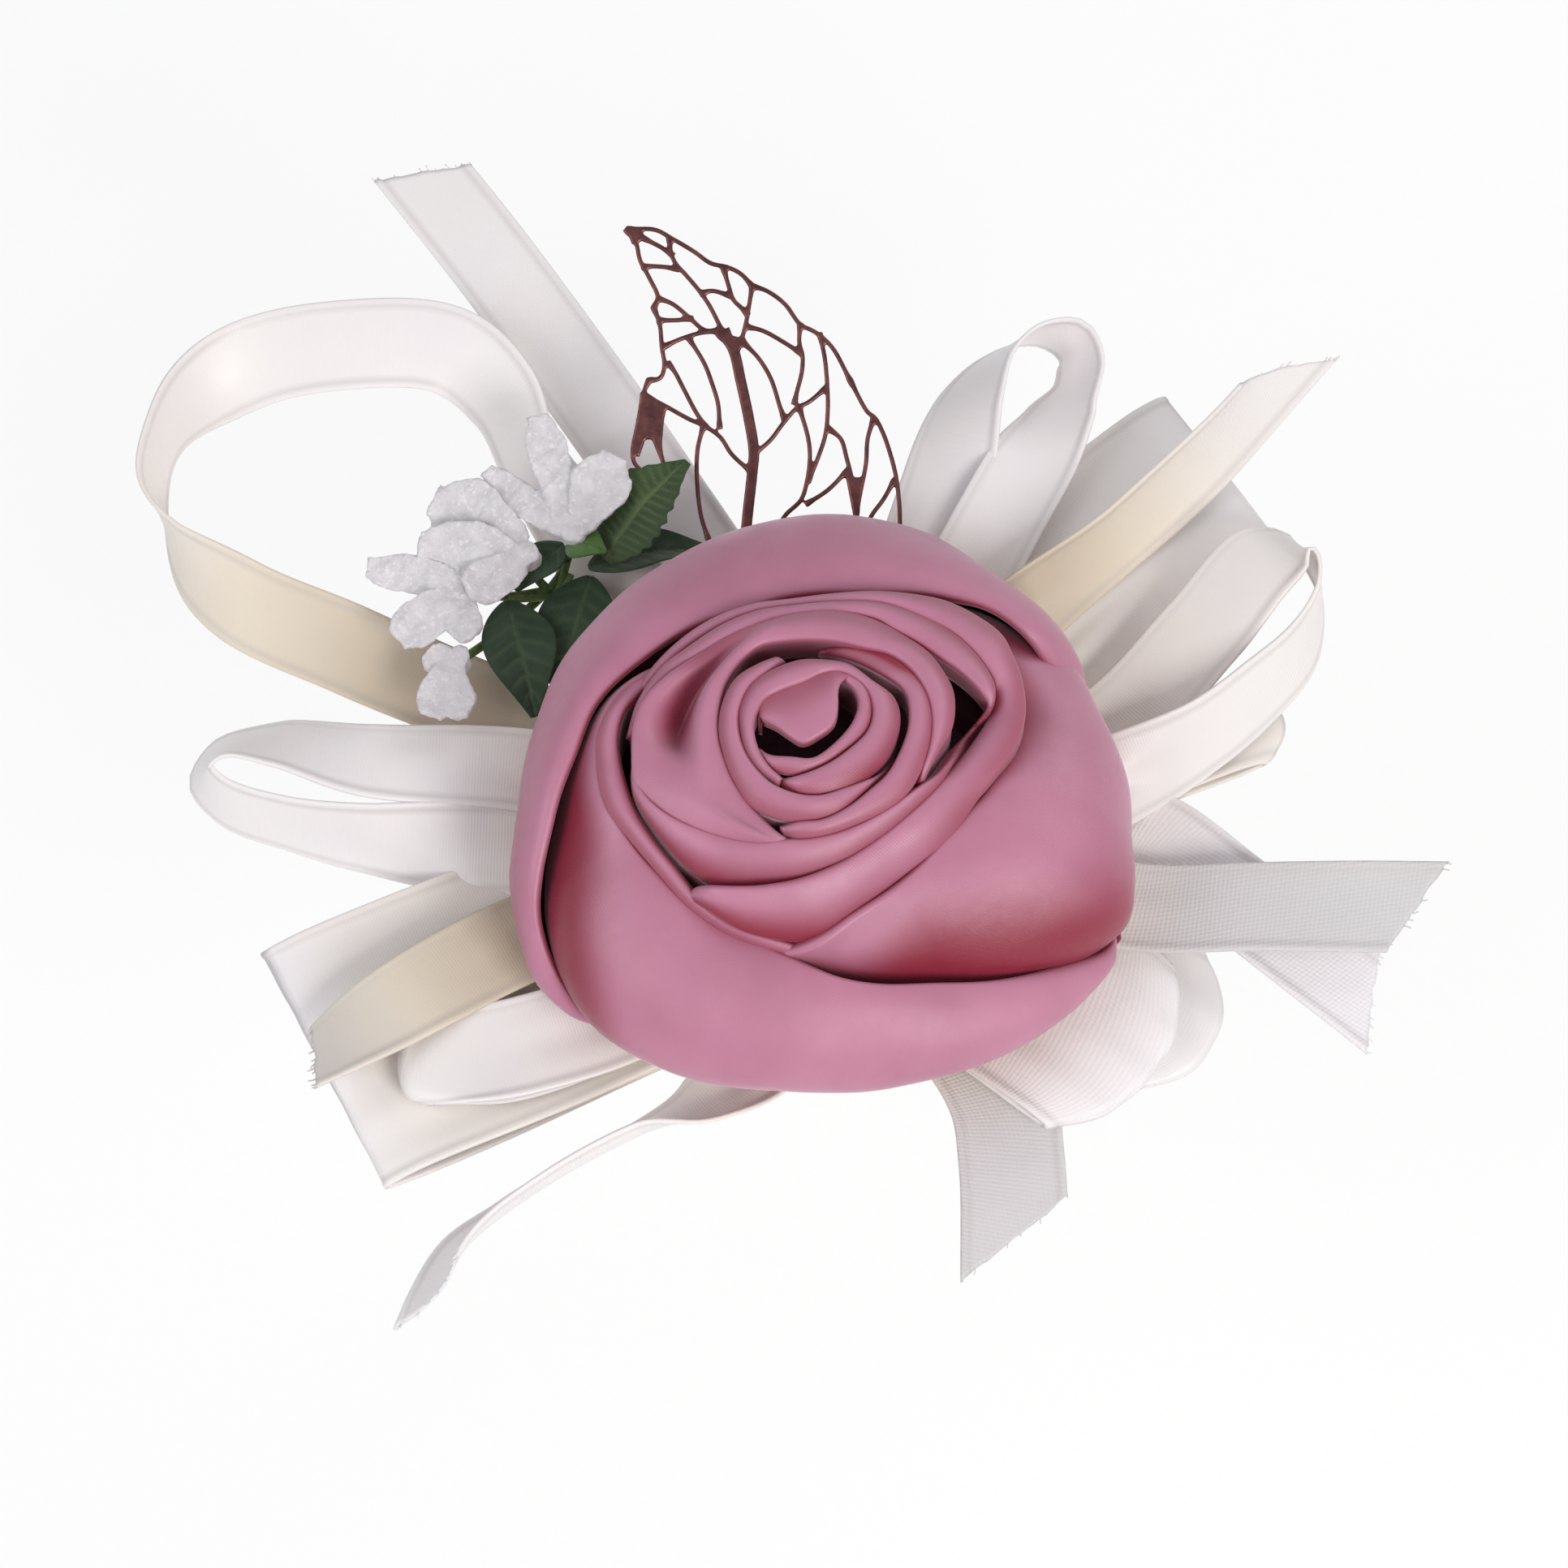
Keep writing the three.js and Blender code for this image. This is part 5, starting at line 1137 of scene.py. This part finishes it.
def make_blossoms():
    for index, (node, petals) in enumerate(BLOSSOMS.items()):
        parts = [blossom_petal(*shape, index + k) for k, shape in enumerate(petals)]
        heart = heart_of(petals)
        parts.append(tube([heart + (0, 0, rise) for rise in BLOOM.heart_rise], BLOOM.heart))
        obj = make("petals_" + node, parts)
        fuse(obj, BLOOM.voxel, rounds=3)
        points = mesh_points(obj)
        outward = np.array([v.normal for v in obj.data.vertices])
        lumps = BLOOM.lump * wobble(points, BLOOM.lump_size, index)
        lumps = lumps + BLOOM.grain * wobble(points, BLOOM.grain_size, index + 5)
        set_points(obj, points + outward * lumps[:, None])
        dress(obj, BLOSSOM, [node], "sprig")


def make_stems():
    stalk_end, bundle = [-29, 27.8, 9.9], [-29.8, 28.6, 9.9]
    stalk = make("taped_stalk", [
        tube([[-6.6, 5.6, LEVELS[5]], [-18, 16.4, LEVELS[5]], stalk_end], TAPED.stalk),
        tube([stalk_end, [-28.2, 29.6, 11.2], [-27.7, 31, 12.2]], TAPED.leaf),
        tube([stalk_end, [-27.8, 28.8, 11.2], [-27.3, 29.6, 11.8]], TAPED.leaf),
        tube([stalk_end, [-31, 27, 11.2], [-33.9, 26.2, 12.4]], TAPED.leaf),
    ])
    dress(stalk, TAPE, ["sprig_stalk"])
    stems = []
    for petals in BLOSSOMS.values():
        end = heart_of(petals) - (0, 0, TAPED.below)
        middle = [(end[0] + bundle[0]) / 2, (end[1] + bundle[1]) / 2, bundle[2] + TAPED.rise]
        stems.append(tube([bundle, middle, end], TAPED.blossom))
    dress(make("taped_stems", stems), TAPE, ["blossom_stems"], "sprig")


# Pads, glue and wristband

def felt_disc(name, node, radius, low, seed):
    """A round of felt with a soft, uneven rim."""
    high = low + FELT.thick
    inset, rise = FELT.corner
    half = [(0, 0)] + [(r, 0) for r in np.linspace(FELT.middle, radius - FELT.edge, FELT.rings)]
    half += [(radius - inset, rise), (radius, FELT.edge)]
    profile = [(r, low + z) for r, z in half] + [(r, high - z) for r, z in reversed(half)]
    points, faces = turned(profile, 180)
    rim = ease((np.hypot(points[:, 0], points[:, 1]) - radius + FELT.rim) / FELT.rim)
    uneven = FELT.fuzz * wobble(points, FELT.fuzz_size, seed) - FELT.rim_inset
    points[:, :2] *= 1 + (rim * uneven / radius)[:, None]
    obj = make(name, [(points, faces)])
    dress(obj, FELT_CLOTH, [node])


def band_part(name, node, stops, body, seed):
    """A length of ruched elastic: its middle line runs through stops (x, z)."""
    along, centre, forward = walk([(x, 0, z) for x, z in stops], BAND.row)
    out = np.stack([forward[:, 2], 0 * along, -forward[:, 0]], -1)
    s = np.linspace(-1, 1, BAND.columns)[None]
    run = along[:, None]
    gathers = run * BAND.gathers
    fade = ease(np.minimum(run, along[-1] - run) / BAND.end_run)
    ruche = np.sin(gathers + 1.3 * np.sin(2.1 * s + run * 0.21 + seed)) * BAND.ruche
    ruche = ruche + BAND.ripple * np.sin(run * 1.7 + 3 * s + seed) * fade
    width = BAND.width / 2 + BAND.scallop * np.sin(gathers + seed) * fade
    edge = np.sqrt(np.clip(1 - np.abs(s) ** 8, 0.06, 1))
    half = (BAND.thick / 2 - BAND.slack) * edge + ruche * fade * edge
    middle = centre[:, None] + np.array([0, 1, 0]) * (s * width)[..., None]
    grid = np.stack([s * width, run + 0 * s, 0 * run + 0 * s], -1).reshape(-1, 3)
    obj = make(name, [slab(middle, out[:, None] * half[..., None])], np.concatenate([grid, grid]))
    return dress(obj, ELASTIC, [node], body)


# Profile of the glue (radius, height)
GLUE = [
    (0, 5.1), (3, 5.1), (6.4, 5.1), (7, 5.6), (7, 7), (7, 9.1), (6.3, 10.3), (5, 11.1), (2.4, 11.1),
    (0, 11.1),
]
# Middle line of one side of the band (x, z), below the pad
BAND_SIDE = [(26.3, -0.6), (28, -8), (28, -20), (24.5, -33), (15, -41.6)]


def make_wrist_parts():
    cover_low = FELT.thick + FELT.gap
    felt_disc("felt_pad", "felt_base", FELT.base_radius, 0, 1)
    felt_disc("felt_top", "felt_cover", FELT.cover_radius, cover_low, 2)
    points, faces = turned(GLUE)
    points[:, :2] *= 1 + 0.05 * (wobble(points, 2.2, 3) - 0.6)[:, None]
    dress(make("glue_lump", [(points, faces)]), set_glue(), ["glue_mound"])

    band_z = FELT.thick + FELT.gap / 2
    side = [(8, band_z), (16, band_z), (22.8, band_z), *BAND_SIDE]
    for name, hand in (("right", 1), ("left", -1)):
        span = band_part(f"elastic_{name}", f"band_{name}_span", [(hand * x, z) for x, z in side], None, hand)
        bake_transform(span)
    under = [(14.6, -41.9), (8, -44.9), (0, -46), (-8, -44.9), (-14.6, -41.9)]
    band_part("elastic_under", "band_underside", under, "band_under", 2)


# Stage: pale floor, soft light and the photograph's view

def stage_material(name, camera_share):
    """Plain white that shows as white to the camera and still takes the object's shadow."""
    material = bpy.data.materials.new(name)
    material.use_nodes = True
    material.node_tree.nodes.clear()
    tree = Nodes(material.node_tree)
    ray = tree.node("LightPath").outputs
    seen = tree.math("MAXIMUM", ray["Is Camera Ray"], ray["Is Glossy Ray"])
    seen = tree.math("MAXIMUM", seen, ray["Is Transmission Ray"])
    matte = tree.node("BsdfDiffuse", {"Color": (0.9, 0.9, 0.9)}).outputs[0]
    glow = tree.node("Emission").outputs[0]
    mixed = tree.node("MixShader", {0: tree.math("MULTIPLY", seen, camera_share), 1: matte, 2: glow})
    tree.node("OutputMaterial", {"Surface": mixed.outputs[0]})
    return material


def area_light(name, place, size, power, color):
    light = bpy.data.lights.new(name, "AREA")
    light.size = size
    light.energy = power
    light.color = color
    obj = add_object(name, light)
    obj.location = place
    aim = np.array(LIGHT_AIM) - np.array(place)
    flat = math.hypot(aim[0], aim[1])
    obj.rotation_euler = (math.atan2(flat, -aim[2]), 0, math.atan2(-aim[0], aim[1]))


def make_floor():
    mesh = bpy.data.meshes.new("floor")
    reach, level = 3.0, FLOOR_Z * MM
    corners = [(-reach, -reach, level), (reach, -reach, level), (reach, reach, level), (-reach, reach, level)]
    mesh.from_pydata(corners, [], [(0, 1, 2, 3)])
    floor = add_object("floor", mesh)
    mesh.materials.append(stage_material("pale_floor", FLOOR_SHOWN))


def make_world():
    """White to the camera, and a softer white light on the object."""
    world = bpy.data.worlds.new("studio")
    world.use_nodes = True
    bpy.context.scene.world = world
    tree = Nodes(world.node_tree)
    background = world.node_tree.nodes["Background"].inputs
    tree.set(background["Color"], (1, 1, 1))
    seen = tree.node("LightPath").outputs["Is Camera Ray"]
    tree.set(background["Strength"], tree.spread(seen, 0, 1, WORLD_LIGHT, 1))


def make_camera():
    data = bpy.data.cameras.new("camera")
    data.lens = VIEW.lens
    data.sensor_width = VIEW.sensor
    camera = add_object("camera", data)
    tilt = math.radians(VIEW.elevation)
    away = np.array([0, -math.cos(tilt), math.sin(tilt)]) * VIEW.distance
    camera.location = (np.array(VIEW.target) + away) * MM
    camera.rotation_euler = (math.radians(90) - tilt, 0, 0)
    bpy.context.scene.camera = camera


def make_stage():
    bpy.context.scene.view_settings.view_transform = "Standard"
    make_floor()
    make_world()
    area_light("key", (0.26, -0.40, 0.38), 0.24, 2.2, (1, 0.985, 0.97))
    area_light("fill", (-0.40, -0.15, 0.40), 0.36, 1.1, (0.94, 0.95, 1))
    area_light("back", (0.30, 0.36, 0.30), 0.26, 0.6, (0.97, 0.97, 1))
    make_camera()


make_stage()
make_ribbons()
make_rose()
make_metal_leaf()
make_green_leaves()
make_blossoms()
make_stems()
make_wrist_parts()

bpy.context.view_layer.update()
